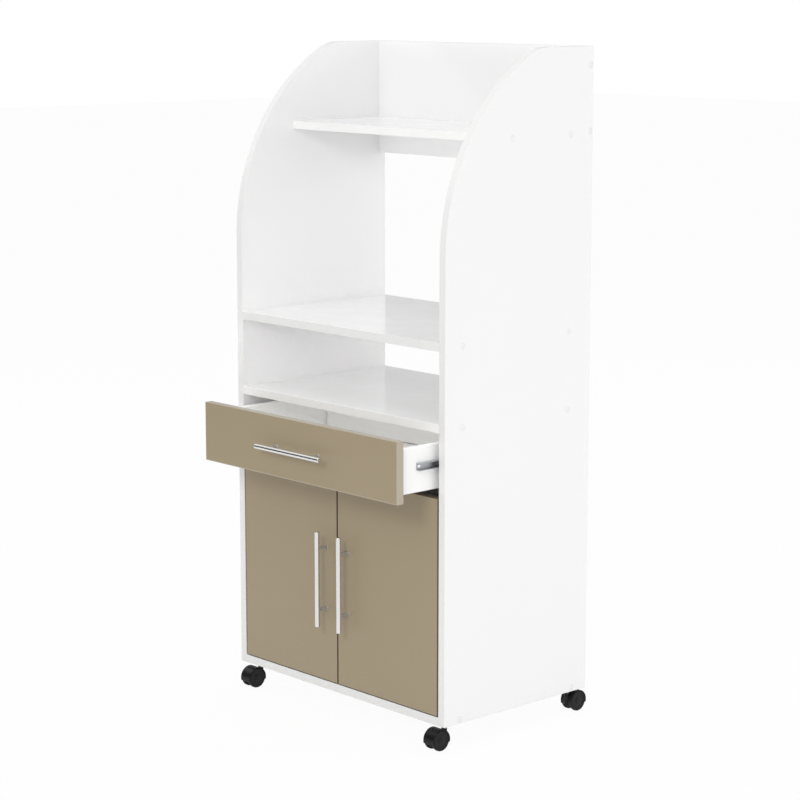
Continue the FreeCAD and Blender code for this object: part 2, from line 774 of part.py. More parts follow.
def drawer_tools():
    """Cuts that pieces of the drawer share: cam bolt holes, back screw holes and the bottom's groove."""
    bolts = compound("cam_bolt_holes", drills("cam_bolt_hole", cam_bolt_spots(),
                                              "Size.cam_bolt_radius", CAM_BOLT_LENGTH))
    pilots = compound("box_pilots", drills("box_pilot", box_screw_spots(),
                                           "Size.small_screw_radius + Size.hole_play",
                                           "Size.box_screw_length + Size.hole_play"))
    groove = block("drawer_groove",
                   ("drawer_inside_width + 2 * Size.drawer_groove_depth",
                    "Size.drawer_side_length + 2 * Size.drawer_groove_depth"
                    " - Size.drawer_side_thickness", "drawer_groove_height"),
                   ("drawer_inside_x - Size.drawer_groove_depth",
                    "drawer_box_y - Size.drawer_groove_depth", "drawer_groove_z"))
    return bolts, pilots, groove


def drawer_box():
    """Front, sides, back and bottom of the drawer."""
    bolts, pilots, groove = drawer_tools()
    drawer_front([bolts, mirror("cam_bolt_holes_right", bolts), groove])
    drawer_sides([bolts, pilots, groove])
    back = block("drawer_back_blank",
                 ("drawer_inside_width", "Size.drawer_side_thickness", "Size.drawer_side_height"),
                 ("drawer_inside_x", "drawer_back_y", "drawer_box_z"))
    node(cut("drawer_back", back, [groove, pilots, mirror("box_pilots_right", pilots)]),
         "drawer_back")
    node(block("drawer_bottom",
               ("drawer_inside_width + 2 * drawer_panel_reach",
                "Size.drawer_side_length - Size.drawer_side_thickness + 2 * drawer_panel_reach",
                "Size.drawer_bottom_thickness"),
               ("drawer_inside_x - drawer_panel_reach", "drawer_box_y - drawer_panel_reach",
                "drawer_bottom_z")), "drawer_bottom")


def drawer_front(tools):
    """Front of the drawer, drilled for its cam bolts and its handle's screws."""
    blank = block("drawer_front_blank",
                  ("-2 * drawer_front_x", "Size.drawer_front_thickness", "Size.drawer_front_height"),
                  ("drawer_front_x", "drawer_y", "drawer_front_z"))
    handle_tools = handle_holes("drawer_handle_hole", *DRAWER_HANDLE, "Size.drawer_front_thickness")
    node(cut("drawer_front", blank, tools + handle_tools), "drawer_front")


def drawer_sides(tools):
    """Sides of the drawer, with seats for the cams, the runner's screws and the back screws."""
    blank = block("drawer_side_blank",
                  ("Size.drawer_side_thickness", "Size.drawer_side_length", "Size.drawer_side_height"),
                  ("drawer_side_x", "drawer_box_y", "drawer_box_z"))
    runner_pilots = drills("runner_pilot", runner_screw_spots(),
                           "Size.small_screw_radius + Size.hole_play",
                           "Size.small_screw_length + Size.hole_play")
    head_seats = drills("box_head_seat", box_screw_spots(),
                        "Size.small_screw_head_radius + Size.hole_play",
                        "Size.small_screw_head_height")
    left = cut("drawer_side_left", blank, tools + cam_seats() + runner_pilots + head_seats)
    two_sided("drawer_side", left)


def drawer_fasteners():
    """Cams and their bolts, which hold the front, and the screws that hold the back."""
    cam = turned("cam_master", [
        ("0", "0"), ("Size.cam_radius", "0"), ("Size.cam_radius", "Size.cam_depth"),
        ("0", "Size.cam_depth"),
    ])
    bolt = turned("cam_bolt_master", [
        ("0", "0"), ("Size.cam_bolt_radius", "0"), ("Size.cam_bolt_radius", CAM_BOLT_LENGTH),
        ("0", CAM_BOLT_LENGTH),
    ])
    both_sides("drawer_cam_locks", scatter("cams_left", cam, cam_spots()))
    whole_bolts = scatter("cam_bolts_whole", bolt, cam_bolt_spots())
    both_sides("drawer_cam_bolts", cut("cam_bolts_left", whole_bolts, cam_seats()))
    both_sides("drawer_back_screws", scatter("box_screws_left", BOX_SCREW, box_screw_spots()))


# ---------------------------------------------------------------- handles

def handle_post_ends(along):
    """Offsets of a handle's two posts from its middle, along x or z."""
    half = "Size.handle_spacing / 2"
    if along == "x":
        return [(f"-( {half} )", "0"), (half, "0")]
    return [("0", f"-( {half} )"), ("0", half)]


def handle(prefix, along, x, face, z):
    """Round bar on two posts in front of a board's face, with screws from behind the board."""
    middle_y = f"{face} - handle_standoff"
    half = "Size.handle_length / 2"
    start = (f"{x} - {half}", middle_y, z) if along == "x" else (x, middle_y, f"{z} - {half}")
    inner = "Size.handle_radius - Size.handle_chamfer"
    bar = turned(f"{prefix}_handle_bar", [
        ("0", "0"), (inner, "0"), ("Size.handle_radius", "Size.handle_chamfer"),
        ("Size.handle_radius", "Size.handle_length - Size.handle_chamfer"),
        (inner, "Size.handle_length"), ("0", "Size.handle_length"),
    ])
    put(bar, start, f"+{along}")
    posts = []
    for number, (dx, dz) in enumerate(handle_post_ends(along), start=1):
        place = (f"{x} + {dx}", face, f"{z} + {dz}")
        post = rod(f"{prefix}_post_{number}", "Size.handle_post_radius", "handle_standoff",
                   place, "-y")
        thread = rod(f"{prefix}_post_thread_{number}", "Size.handle_screw_radius",
                     "Size.handle_screw_bite + Size.hole_play", place, "-y")
        posts.append(cut(f"{prefix}_post_cut_{number}", post, [thread, bar]))
    return bar, compound(f"{prefix}_handle_posts", posts)


def handle_screw_spots(along, x, face, z, thickness):
    """Where the handle's screw heads sit, on the back of the board."""
    return [Spot((f"{x} + {dx}", f"{face} + {thickness} + Size.handle_screw_head_height",
                  f"{z} + {dz}"), "-y") for dx, dz in handle_post_ends(along)]


def handle_holes(name, along, x, face, z, thickness):
    """Clearance holes for the handle's screws."""
    spots = handle_screw_spots(along, x, face, z, thickness)
    return drills(name, spots, "Size.handle_screw_radius + Size.hole_play", thickness,
                  "Size.handle_screw_head_height")


DRAWER_HANDLE = ("x", "0", "drawer_y", "drawer_middle")
DOOR_HANDLE = ("z", "-Size.handle_offset", "front", "door_middle")


def drawer_handle():
    """Handle of the drawer."""
    bar, posts = handle("drawer", *DRAWER_HANDLE)
    node(bar, "drawer_handle_bar")
    node(posts, "drawer_handle_posts")
    spots = handle_screw_spots(*DRAWER_HANDLE, "Size.drawer_front_thickness")
    node(scatter("drawer_handle_screws", HANDLE_SCREW, spots), "drawer_handle_screws")


# ---------------------------------------------------------------- doors and hinges

def wing_screw_spots():
    """Where the left cups are screwed to the door."""
    return [Spot(("cup_x", "cup_mouth + Size.flange_thickness",
                  f"{level} {sign} Size.wing_screw_reach"), "-y")
            for level in hinge_levels().values() for sign in "-+"]


def hinge_cup(name, level):
    """Deep-drawn cup with a flange, two wings and two ears for the pin."""
    cup = rod(f"{name}_shell", "Size.cup_radius", "Size.cup_depth", ("cup_x", "cup_mouth", level),
              "-y")
    hollow = rod(f"{name}_hollow", "cup_inner_radius",
                 "Size.cup_depth - Size.cup_wall + Size.flange_thickness",
                 ("cup_x", "cup_mouth + Size.flange_thickness", level), "-y")
    flange = rod(f"{name}_flange", "flange_radius", "Size.flange_thickness",
                 ("cup_x", "cup_mouth", level), "+y")
    wings = block(f"{name}_wings",
                  ("Size.wing_width", "Size.flange_thickness", "Size.wing_length"),
                  ("cup_x - Size.wing_width / 2", "cup_mouth", f"{level} - Size.wing_length / 2"))
    open_cup = cut(f"{name}_open", fuse(f"{name}_body", [cup, flange, wings]), [hollow])
    ears = []
    for number, sign in enumerate("-+"):
        start = f"{level} - ear_low - Size.ear_thickness" if sign == "-" else f"{level} + ear_low"
        ears.append(block(f"{name}_ear_{number}",
                          ("2 * Size.ear_half_width",
                           "pivot_y + Size.ear_half_width - ear_floor", "Size.ear_thickness"),
                          ("pivot_x - Size.ear_half_width", "ear_floor", start)))
    bore = hinge_pin(f"{name}_bore", level)
    seats = [rod(f"{name}_seat_{number}", "Size.small_screw_head_radius", "Size.flange_thickness",
                 ("cup_x", "cup_mouth", f"{level} {sign} Size.wing_screw_reach"), "+y")
             for number, sign in enumerate("-+")]
    return cut(name, fuse(f"{name}_solid", [open_cup] + ears), [bore] + seats)


def hinge_pin(name, level):
    """Pin through both ears."""
    return rod(name, "Size.pin_radius", "2 * ( ear_low + Size.ear_thickness )",
               ("pivot_x", "pivot_y", f"{level} - ear_low - Size.ear_thickness"), "+z")


def hinge_arm(name, level):
    """Goose-necked arm: an eye on the pin, a neck out of the cup and a run along the side panel."""
    half = "Size.arm_gauge / 2"
    neck = "Size.neck_reach"
    outer = "Size.neck_reach + Size.arm_gauge"
    rise = "Size.neck_rise"
    top = "Size.neck_rise + Size.arm_gauge"
    end = "Size.neck_rise + Size.arm_length"
    corners = [
        ("0", f"-( {half} )"), (outer, f"-( {half} )"), (outer, f"{top} - ( {half} )"),
        (f"{outer} - ( {half} )", top), ("arm_run + Size.arm_gauge", top),
        ("arm_run + Size.arm_gauge", end), ("arm_run", end), ("arm_run", rise),
        (neck, rise), (neck, half), ("0", half),
    ]
    strip = padded(f"{name}_strip", "XY_Plane", corners, "Size.arm_height")
    low = f"{level} - Size.arm_height / 2"
    put(strip, ("pivot_x", "pivot_y", low))
    eye = rod(f"{name}_eye", "Size.eye_radius", "Size.arm_height", ("pivot_x", "pivot_y", low), "+z")
    bore = rod(f"{name}_bore", "Size.pin_radius + Size.pin_play", "Size.arm_height",
               ("pivot_x", "pivot_y", low), "+z")
    spot = Spot(("arm_x + Size.arm_gauge", "arm_screw_y", level), "-x")
    hole = drills(f"{name}_hole", [spot], "Size.arm_screw_radius", "Size.arm_gauge")
    return cut(name, fuse(f"{name}_blank", [strip, eye]), [bore] + hole)


def arm_screw_spots():
    """Where the left arms are screwed to their plates."""
    return [Spot(("arm_x + Size.arm_gauge + Size.arm_screw_head_height", "arm_screw_y", level), "-x")
            for level in hinge_levels().values()]


def hinge_plate(name, level):
    """Plate between arm and side panel."""
    plate = block(f"{name}_blank",
                  ("Size.plate_thickness", "Size.plate_length", "Size.plate_height"),
                  ("left_inside", "plate_y", f"{level} - Size.plate_height / 2"))
    spots = [spot for spot in plate_screw_spots() if spot.place[2].startswith(level)]
    seats = drills(f"{name}_seat", spots, "Size.small_screw_head_radius",
                   "Size.small_screw_head_height")
    shanks = drills(f"{name}_shank", spots, "Size.small_screw_radius + Size.hole_play",
                    "Size.plate_thickness")
    thread = drills(f"{name}_thread", [Spot(("arm_x", "arm_screw_y", level), "-x")],
                    "Size.arm_screw_radius", "Size.plate_thickness")
    return cut(name, plate, seats + shanks + thread)


def hinges():
    """Both hinges of the left door and, mirrored, of the right door."""
    levels = hinge_levels()
    makers = {"hinge_cups": hinge_cup, "hinge_pins": hinge_pin, "hinge_arms": hinge_arm,
              "hinge_plates": hinge_plate}
    for label, make in makers.items():
        pieces = [make(f"{label}_{name}", level) for name, level in levels.items()]
        two_sided(label, compound(f"{label}_pair", pieces))
    two_sided("hinge_cup_screws", scatter("wing_screws", WING_SCREW, wing_screw_spots()))
    both_sides("hinge_arm_screws", scatter("arm_screws_left", ARM_SCREW, arm_screw_spots()))


def doors():
    """Both doors with their handles."""
    blank = block("door_blank", ("door_width", "Size.door_thickness", "Size.door_height"),
                  ("door_x", "front", "door_z"))
    tools = handle_holes("door_handle_hole", *DOOR_HANDLE, "Size.door_thickness")
    tools += drills("wing_pilot", wing_screw_spots(), "Size.small_screw_radius + Size.hole_play",
                    "Size.flange_thickness + Size.small_screw_length + Size.hole_play")
    tools += [rod(f"cup_seat_{name}", "Size.cup_radius", "Size.cup_depth",
                  ("cup_x", "cup_mouth", level), "-y") for name, level in hinge_levels().items()]
    two_sided("door", cut("door_left", blank, tools))
    bar, posts = handle("door", *DOOR_HANDLE)
    two_sided("door_handle_bar", bar)
    two_sided("door_handle_posts", posts)
    spots = handle_screw_spots(*DOOR_HANDLE, "Size.door_thickness")
    two_sided("door_handle_screws", scatter("door_handle_screws", HANDLE_SCREW, spots))


def hardware_screws():
    """Screws of the cabinet rails and of the hinge plates."""
    rails = scatter("rail_screws", SMALL_SCREW, rail_screw_spots())
    plates = scatter("plate_screws", PLATE_SCREW, plate_screw_spots())
    both_sides("cabinet_hardware_screws", compound("hardware_screws_left", [rails, plates]))


# ---------------------------------------------------------------- castors

def castor_spots():
    """Stem axes of the four castors at the cabinet's underside."""
    return [Spot((x, y, "underside"), "+z")
            for y in ("front_stem_y", "rear_stem_y")
            for x in ("stem_x", "-( stem_x )")]


def castor_stems():
    """Stems with a collar, screwed into threaded inserts in the bottom panel."""
    stem = turned("stem_master", [
        ("0", "-( Size.collar_height + Size.stem_reach )"),
        ("Size.stem_radius", "-( Size.collar_height + Size.stem_reach )"),
        ("Size.stem_radius", "-Size.collar_height"),
        ("Size.collar_radius", "-Size.collar_height"),
        ("Size.collar_radius", "0"),
        ("Size.stem_radius", "0"),
        ("Size.stem_radius", "Size.insert_length"),
        ("0", "Size.insert_length"),
    ])
    insert = turned("insert_master", [
        ("Size.stem_radius", "0"), ("Size.insert_radius", "0"),
        ("Size.insert_radius", "Size.insert_length"), ("Size.stem_radius", "Size.insert_length"),
    ])
    node(scatter("castor_stems", stem, castor_spots()), "castor_stems")
    node(scatter("castor_inserts", insert, castor_spots()), "castor_inserts")


def castor_hood(name, x, stem_y, wheel_y):
    """Hood over both wheels: a fender, a middle block that holds the axle and a boss for the stem."""
    centre = "Size.wheel_radius"
    half = "Size.hood_width / 2"
    drum = rod(f"{name}_drum", "Size.hood_radius", "Size.hood_width",
               (f"{x} - {half}", wheel_y, centre), "+x")
    boss = rod(f"{name}_boss", "Size.boss_radius", "boss_top - boss_bottom",
               (x, stem_y, "boss_bottom"), "+z")
    depth = f"{half} - Size.boss_radius"
    wells = [rod(f"{name}_well_left", "Size.hood_radius - Size.hood_wall", depth,
                 (f"{x} - {half}", wheel_y, centre), "+x"),
             rod(f"{name}_well_right", "Size.hood_radius - Size.hood_wall", depth,
                 (f"{x} + Size.boss_radius", wheel_y, centre), "+x")]
    below = block(f"{name}_below",
                  ("Size.hood_width", "2 * Size.hood_radius", "Size.hood_radius - Size.hood_drop"),
                  (f"{x} - {half}", f"{wheel_y} - Size.hood_radius",
                   f"{centre} - Size.hood_radius"))
    stem_bore = rod(f"{name}_stem_bore", "Size.stem_radius + Size.stem_play",
                    "Size.stem_reach + Size.boss_gap",
                    (x, stem_y, "boss_top"), "-z")
    axle_bore = rod(f"{name}_axle_bore", "Size.axle_radius + Size.axle_play",
                    "2 * Size.boss_radius", (f"{x} - Size.boss_radius", wheel_y, centre), "+x")
    shell = cut(f"{name}_shell", drum, wells + [below])
    return cut(name, fuse(f"{name}_solid", [shell, boss]), [stem_bore, axle_bore])


def castor_wheels(name, x, wheel_y):
    """Two wheels pressed on one axle."""
    centre = "Size.wheel_radius"
    radius = "Size.wheel_radius"
    width = "Size.wheel_thickness"
    depth = "Size.wheel_thickness - Size.wheel_cap"
    edge = "Size.wheel_chamfer"
    dish = "Size.wheel_thickness - Size.wheel_dish_depth"
    corners = [
        ("0", depth), ("Size.axle_radius", depth), ("Size.axle_radius", "0"),
        (f"{radius} - {edge}", "0"), (radius, edge), (radius, f"{width} - {edge}"),
        (f"{radius} - {edge}", width), ("Size.wheel_dish_radius + Size.wheel_dish_depth", width),
        ("Size.wheel_dish_radius", dish), ("0", dish),
    ]
    left = put(turned(f"{name}_left", corners), (f"{x} - wheel_offset", wheel_y, centre), "-x")
    right = put(turned(f"{name}_right", corners), (f"{x} + wheel_offset", wheel_y, centre), "+x")
    reach = f"wheel_offset + {depth}"
    axle = rod(f"{name}_axle", "Size.axle_radius", f"2 * ( {reach} )",
               (f"{x} - ( {reach} )", wheel_y, centre), "+x")
    return compound(name, [left, right, axle])


def castors():
    """Four twin-wheel castors, their wheels trailing outwards: forwards in front, back at the rear."""
    castor_stems()
    for end, stem_y, sign in (("front", "front_stem_y", "-"), ("rear", "rear_stem_y", "+")):
        wheel_y = f"{stem_y} {sign} Size.castor_trail"
        for side, x in (("left", "stem_x"), ("right", "-( stem_x )")):
            corner = f"{end}_{side}"
            node(castor_hood(f"castor_hood_{corner}", x, stem_y, wheel_y), f"castor_hood_{corner}")
            node(castor_wheels(f"castor_wheels_{corner}", x, wheel_y), f"castor_wheels_{corner}")


# ---------------------------------------------------------------- build, check, export

def build():
    """Makes every piece of the stand."""
    side_panels()
    boards()
    joint_fasteners()
    slide_rails()
    ball_cages()
    drawer_box()
    drawer_fasteners()
    runners()
    drawer_handle()
    doors()
    hinges()
    hardware_screws()
    castors()
    DOC.recompute()


def check():
    """Raises an error if any object failed or any piece is not a sound shape."""
    for item in DOC.Objects:
        if "Invalid" in item.State or "Error" in item.State:
            raise RuntimeError(f"{item.Label} failed: {item.State}")
    for label, item in NODES.items():
        if item.Shape.isNull() or not item.Shape.isValid():
            raise RuntimeError(f"{label} has no sound shape")
        if not item.Shape.Solids:
            raise RuntimeError(f"{label} has no solid")


def export():
    """Writes one STEP file for each piece."""
    os.makedirs("parts", exist_ok=True)
    for label, item in NODES.items():
        item.Shape.exportStep(f"parts/{label}.step")
        box = item.Shape.BoundBox
        print(f"{label}: {len(item.Shape.Solids)} solids, {item.Shape.Volume / 1000:.1f} cm3, "
              f"x {box.XMin:.1f}..{box.XMax:.1f}, y {box.YMin:.1f}..{box.YMax:.1f}, "
              f"z {box.ZMin:.1f}..{box.ZMax:.1f}")
    print(f"{len(NODES)} nodes")


build()
check()
export()
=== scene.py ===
import logging
import math
from dataclasses import dataclass
from enum import Enum
from typing import Callable, Sequence

import bmesh
import bpy
from mathutils import Matrix, Vector


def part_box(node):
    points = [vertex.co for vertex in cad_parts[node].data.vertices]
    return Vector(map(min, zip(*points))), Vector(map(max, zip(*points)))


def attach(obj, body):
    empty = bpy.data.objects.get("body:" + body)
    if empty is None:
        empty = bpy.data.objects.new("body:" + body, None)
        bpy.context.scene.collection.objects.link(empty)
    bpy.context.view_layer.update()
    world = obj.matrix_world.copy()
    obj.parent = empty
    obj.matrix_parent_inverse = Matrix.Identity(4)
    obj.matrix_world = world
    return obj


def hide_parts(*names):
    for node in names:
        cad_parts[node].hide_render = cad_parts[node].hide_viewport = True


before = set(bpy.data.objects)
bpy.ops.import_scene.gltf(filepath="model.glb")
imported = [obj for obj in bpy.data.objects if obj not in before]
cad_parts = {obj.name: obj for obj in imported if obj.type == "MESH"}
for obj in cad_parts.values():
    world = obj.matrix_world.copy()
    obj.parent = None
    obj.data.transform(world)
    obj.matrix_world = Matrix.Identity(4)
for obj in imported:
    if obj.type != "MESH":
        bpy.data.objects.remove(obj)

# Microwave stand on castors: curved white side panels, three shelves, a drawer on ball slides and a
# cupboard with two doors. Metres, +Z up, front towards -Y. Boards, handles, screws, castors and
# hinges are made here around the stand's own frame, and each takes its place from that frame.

# Lengths are in metres. SAME_WAY is the cosine of two directions that count as one.
LOG = logging.getLogger("stand")
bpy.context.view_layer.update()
SHARP_ANGLE = math.radians(38)
FLAT_ANGLE = math.radians(1)
SAME_PLACE = 1e-6
SAME_LEVEL = 1e-5
SAME_WAY = 0.999

Colour = tuple[float, float, float, float]
Solid = tuple[Vector, Vector]
Profile = Sequence[tuple[float, float]]
Sockets = dict[int | str, object]
PLAIN_WHITE: Colour = (1.0, 1.0, 1.0, 1.0)


class Axis(Enum):
    """One of the frame's axes."""

    X = 0
    Y = 1
    Z = 2

    @property
    def vector(self) -> Vector:
        """Unit vector along the axis."""
        return Vector([float(number == self.value) for number in range(3)])


class Side(Enum):
    """Left or right of the stand, with its sign along X."""

    LEFT = -1
    RIGHT = 1

    @property
    def word(self) -> str:
        """The side's name as node names end with it."""
        return self.name.lower()

    @property
    def outwards(self) -> Vector:
        """Direction from the middle of the stand to this side."""
        return Axis.X.vector * self.value


class End(Enum):
    """Front or rear pair of castors."""

    FRONT = "front"
    REAR = "rear"


def srgb(red: int, green: int, blue: int) -> Colour:
    """Turns an 8-bit display colour into a linear one.

    Args:
        red: Red, 0 to 255.
        green: Green, 0 to 255.
        blue: Blue, 0 to 255.

    Returns:
        The linear colour with an alpha of 1.
    """
    def linear(level: int) -> float:
        """One channel, made linear."""
        share = level / 255
        return share / 12.92 if share <= 0.04045 else ((share + 0.055) / 1.055) ** 2.4

    return (linear(red), linear(green), linear(blue), 1.0)


def shade(colour: Colour, factor: float) -> Colour:
    """Scales a colour's light.

    Args:
        colour: The colour to scale.
        factor: 1 keeps it, more is lighter.

    Returns:
        The scaled colour, with no channel above 1.
    """
    return (*(min(1.0, channel * factor) for channel in colour[:3]), 1.0)


# ---------------------------------------------------------------- shader maths

class Wire:
    """A shader value: arithmetic on it adds Math nodes to its recipe."""

    def __init__(self, recipe: "Recipe", socket: bpy.types.NodeSocket) -> None:
        """Wraps an output socket of a recipe."""
        self.recipe = recipe
        self.socket = socket

    def _maths(self, operation: str, first: "Wire | float", second: "Wire | float") -> "Wire":
        """Adds one Math node and returns its result."""
        return self.recipe.output("Math", {"operation": operation}, {0: first, 1: second})

    def __add__(self, other: "Wire | float") -> "Wire":
        """Sum."""
        return self._maths("ADD", self, other)

    def __radd__(self, other: float) -> "Wire":
        """Sum with a number on the left."""
        return self._maths("ADD", other, self)

    def __mul__(self, other: "Wire | float") -> "Wire":
        """Product."""
        return self._maths("MULTIPLY", self, other)

    def __rmul__(self, other: float) -> "Wire":
        """Product with a number on the left."""
        return self._maths("MULTIPLY", other, self)

    def largest(self, other: "Wire | float") -> "Wire":
        """The larger of two values."""
        return self._maths("MAXIMUM", self, other)


class Recipe:
    """A material's node tree while it is being made."""

    COLOUR_FACTOR = 0
    COLOUR_LOW = 6
    COLOUR_HIGH = 7
    COLOUR_RESULT = 2

    def __init__(self, tree: bpy.types.NodeTree) -> None:
        """Empties the tree."""
        self.tree = tree
        self.tree.nodes.clear()

    def node(self, kind: str, settings: dict[str, object] | None = None,
             sockets: Sockets | None = None) -> bpy.types.Node:
        """Adds one node.

        Args:
            kind: The node's type without its ShaderNode prefix.
            settings: The node's own properties, set first.
            sockets: Values or wires of its inputs, by name or number.

        Returns:
            The new node.
        """
        made = self.tree.nodes.new(f"ShaderNode{kind}")
        for name, value in (settings or {}).items():
            setattr(made, name, value)
        for key, value in (sockets or {}).items():
            if isinstance(value, Wire):
                self.tree.links.new(value.socket, made.inputs[key])
            else:
                made.inputs[key].default_value = value
        return made

    def wire(self, made: bpy.types.Node, output: int | str = 0) -> Wire:
        """An output of a node, ready for arithmetic."""
        return Wire(self, made.outputs[output])

    def output(self, kind: str, settings: dict[str, object] | None = None,
               sockets: Sockets | None = None, output: int | str = 0) -> Wire:
        """Adds one node as node() does, and returns one of its outputs."""
        return self.wire(self.node(kind, settings, sockets), output)

    def place(self, stretch: Sequence[float] = (1.0, 1.0, 1.0)) -> Wire:
        """Object coordinates, stretched along the axes.

        Args:
            stretch: Factor of each axis; a small one draws a pattern out along that axis.

        Returns:
            The stretched coordinates.
        """
        spot = self.output("TexCoord", output="Object")
        return self.output("Mapping", {"vector_type": "POINT"}, {"Vector": spot, "Scale": stretch})

    def noise(self, spot: Wire, scale: float, detail: float = 2.0, rough: float = 0.5) -> Wire:
        """Cloudy pattern from 0 to 1, mostly near 0.5.

        Args:
            spot: Where the pattern is read.
            scale: How many clouds lie along a metre.
            detail: How many finer patterns are added.
            rough: Weight of the finer ones.

        Returns:
            The pattern.
        """
        return self.output("TexNoise", {"noise_dimensions": "3D"}, {
            "Vector": spot, "Scale": scale, "Detail": detail, "Roughness": rough})

    def blend(self, share: Wire, low: Colour | Wire, high: Colour | Wire) -> Wire:
        """Colour between two others.

        Args:
            share: 0 for the low colour, 1 for the high one.
            low: One colour.
            high: The other.

        Returns:
            The colour between them.
        """
        return self.output("Mix", {"data_type": "RGBA", "clamp_factor": True}, {
            self.COLOUR_FACTOR: share, self.COLOUR_LOW: low, self.COLOUR_HIGH: high},
            self.COLOUR_RESULT)

    def relief(self, height: Wire, distance: float) -> Wire:
        """Normal of a surface raised by a pattern.

        Args:
            height: The pattern, where 1 is high.
            distance: Height in metres between 0 and 1.

        Returns:
            The bumped normal.
        """
        return self.output("Bump", {}, {"Height": height, "Strength": 1.0, "Distance": distance})

    def shader(self, sockets: Sockets) -> Wire:
        """A Principled shader."""
        return self.output("BsdfPrincipled", {}, sockets)

    def glow(self, colour: Colour) -> Wire:
        """A surface that shows a colour as it is, in any light."""
        return self.output("Emission", {}, {"Color": colour, "Strength": 1.0})

    def end(self, surface: Wire, kind: str = "Material") -> None:
        """Ends the recipe in what a material or a world shows."""
        self.node(f"Output{kind}", {}, {"Surface": surface})


def new_material(name: str) -> tuple[bpy.types.Material, Recipe]:
    """Makes an empty material and the recipe that fills it.

    Args:
        name: The material's name.

    Returns:
        The material and its recipe.
    """
    material = bpy.data.materials.new(name)
    material.use_nodes = True
    return material, Recipe(material.node_tree)


# ---------------------------------------------------------------- finishes

@dataclass(frozen=True)
class Finish:
    """One of the stand's materials.

    Attributes:
        name: The material's name.
        colour: Its colour, or what it reflects if it is metal.
    """

    name: str
    colour: Colour

    def make(self) -> bpy.types.Material:
        """Builds the material."""
        material, recipe = new_material(self.name)
        recipe.end(recipe.shader(self.sockets(recipe)))
        return material

    def sockets(self, recipe: Recipe) -> Sockets:
        """What goes into the material's shader.

        Args:
            recipe: The material's recipe.

        Returns:
            Values and wires of the shader's sockets.
        """
        raise NotImplementedError

    def wander(self, recipe: Recipe, share: Wire, low: float, high: float) -> Wire:
        """Lets the colour wander over the surface.

        Args:
            recipe: The material's recipe.
            share: Pattern that it follows.
            low: Factor of its light where the pattern is 0.
            high: Factor of its light where the pattern is 1.

        Returns:
            The colour.
        """
        return recipe.blend(share, shade(self.colour, low), shade(self.colour, high))


@dataclass(frozen=True)
class Foil(Finish):
    """Smooth foil pressed on chipboard, with a faint orange peel and a soft gloss.

    Attributes:
        roughness: Gloss of the bare foil.
        coat: Weight of its clear lacquer.
        drift: How far its colour wanders over a board.
        peel: Height of the orange peel, in metres.
    """

    roughness: float
    coat: float
    drift: float = 0.012
    peel: float = 0.000006

    def sockets(self, recipe: Recipe) -> Sockets:
        """Clouds and specks in the colour, handling marks in the gloss.

        Args:
            recipe: The material's recipe.

        Returns:
            Values and wires of the shader's sockets.
        """
        spot = recipe.place()
        clouds = recipe.noise(spot, scale=5.0, detail=3.0)
        specks = recipe.noise(spot, scale=900.0, detail=1.0)
        hands = recipe.noise(recipe.place((1.0, 1.0, 2.5)), scale=14.0, detail=4.0, rough=0.6)
        share = clouds * 0.7 + specks * 0.3
        peel = recipe.noise(spot, scale=260.0) + recipe.noise(spot, scale=1500.0, detail=1.0) * 0.25
        return {
            "Base Color": self.wander(recipe, share, 1 - self.drift, 1 + self.drift),
            "Roughness": hands * 0.10 + (self.roughness - 0.05),
            "Coat Weight": self.coat,
            "Coat Roughness": 0.06,
            "Specular IOR Level": 0.5,
            "Normal": recipe.relief(peel, self.peel),
        }


@dataclass(frozen=True)
class EdgeStrip(Finish):
    """Extruded plastic edging with fine lines along it.

    Attributes:
        roughness: Its gloss.
        lines: Height of the lines, in metres.
    """

    roughness: float = 0.3
    lines: float = 0.000004

    def sockets(self, recipe: Recipe) -> Sockets:
        """Lines in the gloss and the relief, clouds in the colour.

        Args:
            recipe: The material's recipe.

        Returns:
            Values and wires of the shader's sockets.
        """
        lines = recipe.noise(recipe.place((1.0, 0.03, 0.03)), scale=2600.0)
        clouds = recipe.noise(recipe.place(), scale=18.0)
        return {
            "Base Color": self.wander(recipe, clouds, 0.985, 1.015),
            "Roughness": lines * 0.12 + (self.roughness - 0.06),
            "Specular IOR Level": 0.5,
            "Normal": recipe.relief(lines, self.lines),
        }


@dataclass(frozen=True)
class Hardboard(Finish):
    """Thin painted fibreboard with a fine pressed texture.

    Attributes:
        fibre: Height of the texture, in metres.
    """

    fibre: float = 0.00002

    def sockets(self, recipe: Recipe) -> Sockets:
        """Fibres in everything, and clouds in the colour.

        Args:
            recipe: The material's recipe.

        Returns:
            Values and wires of the shader's sockets.
        """
        spot = recipe.place()
        fibres = recipe.noise(spot, scale=700.0, detail=4.0, rough=0.65)
        clouds = recipe.noise(spot, scale=9.0, detail=3.0)
        return {
            "Base Color": self.wander(recipe, clouds * 0.6 + fibres * 0.4, 0.97, 1.03),
            "Roughness": fibres * 0.15 + 0.42,
            "Specular IOR Level": 0.4,
            "Normal": recipe.relief(fibres, self.fibre),
        }


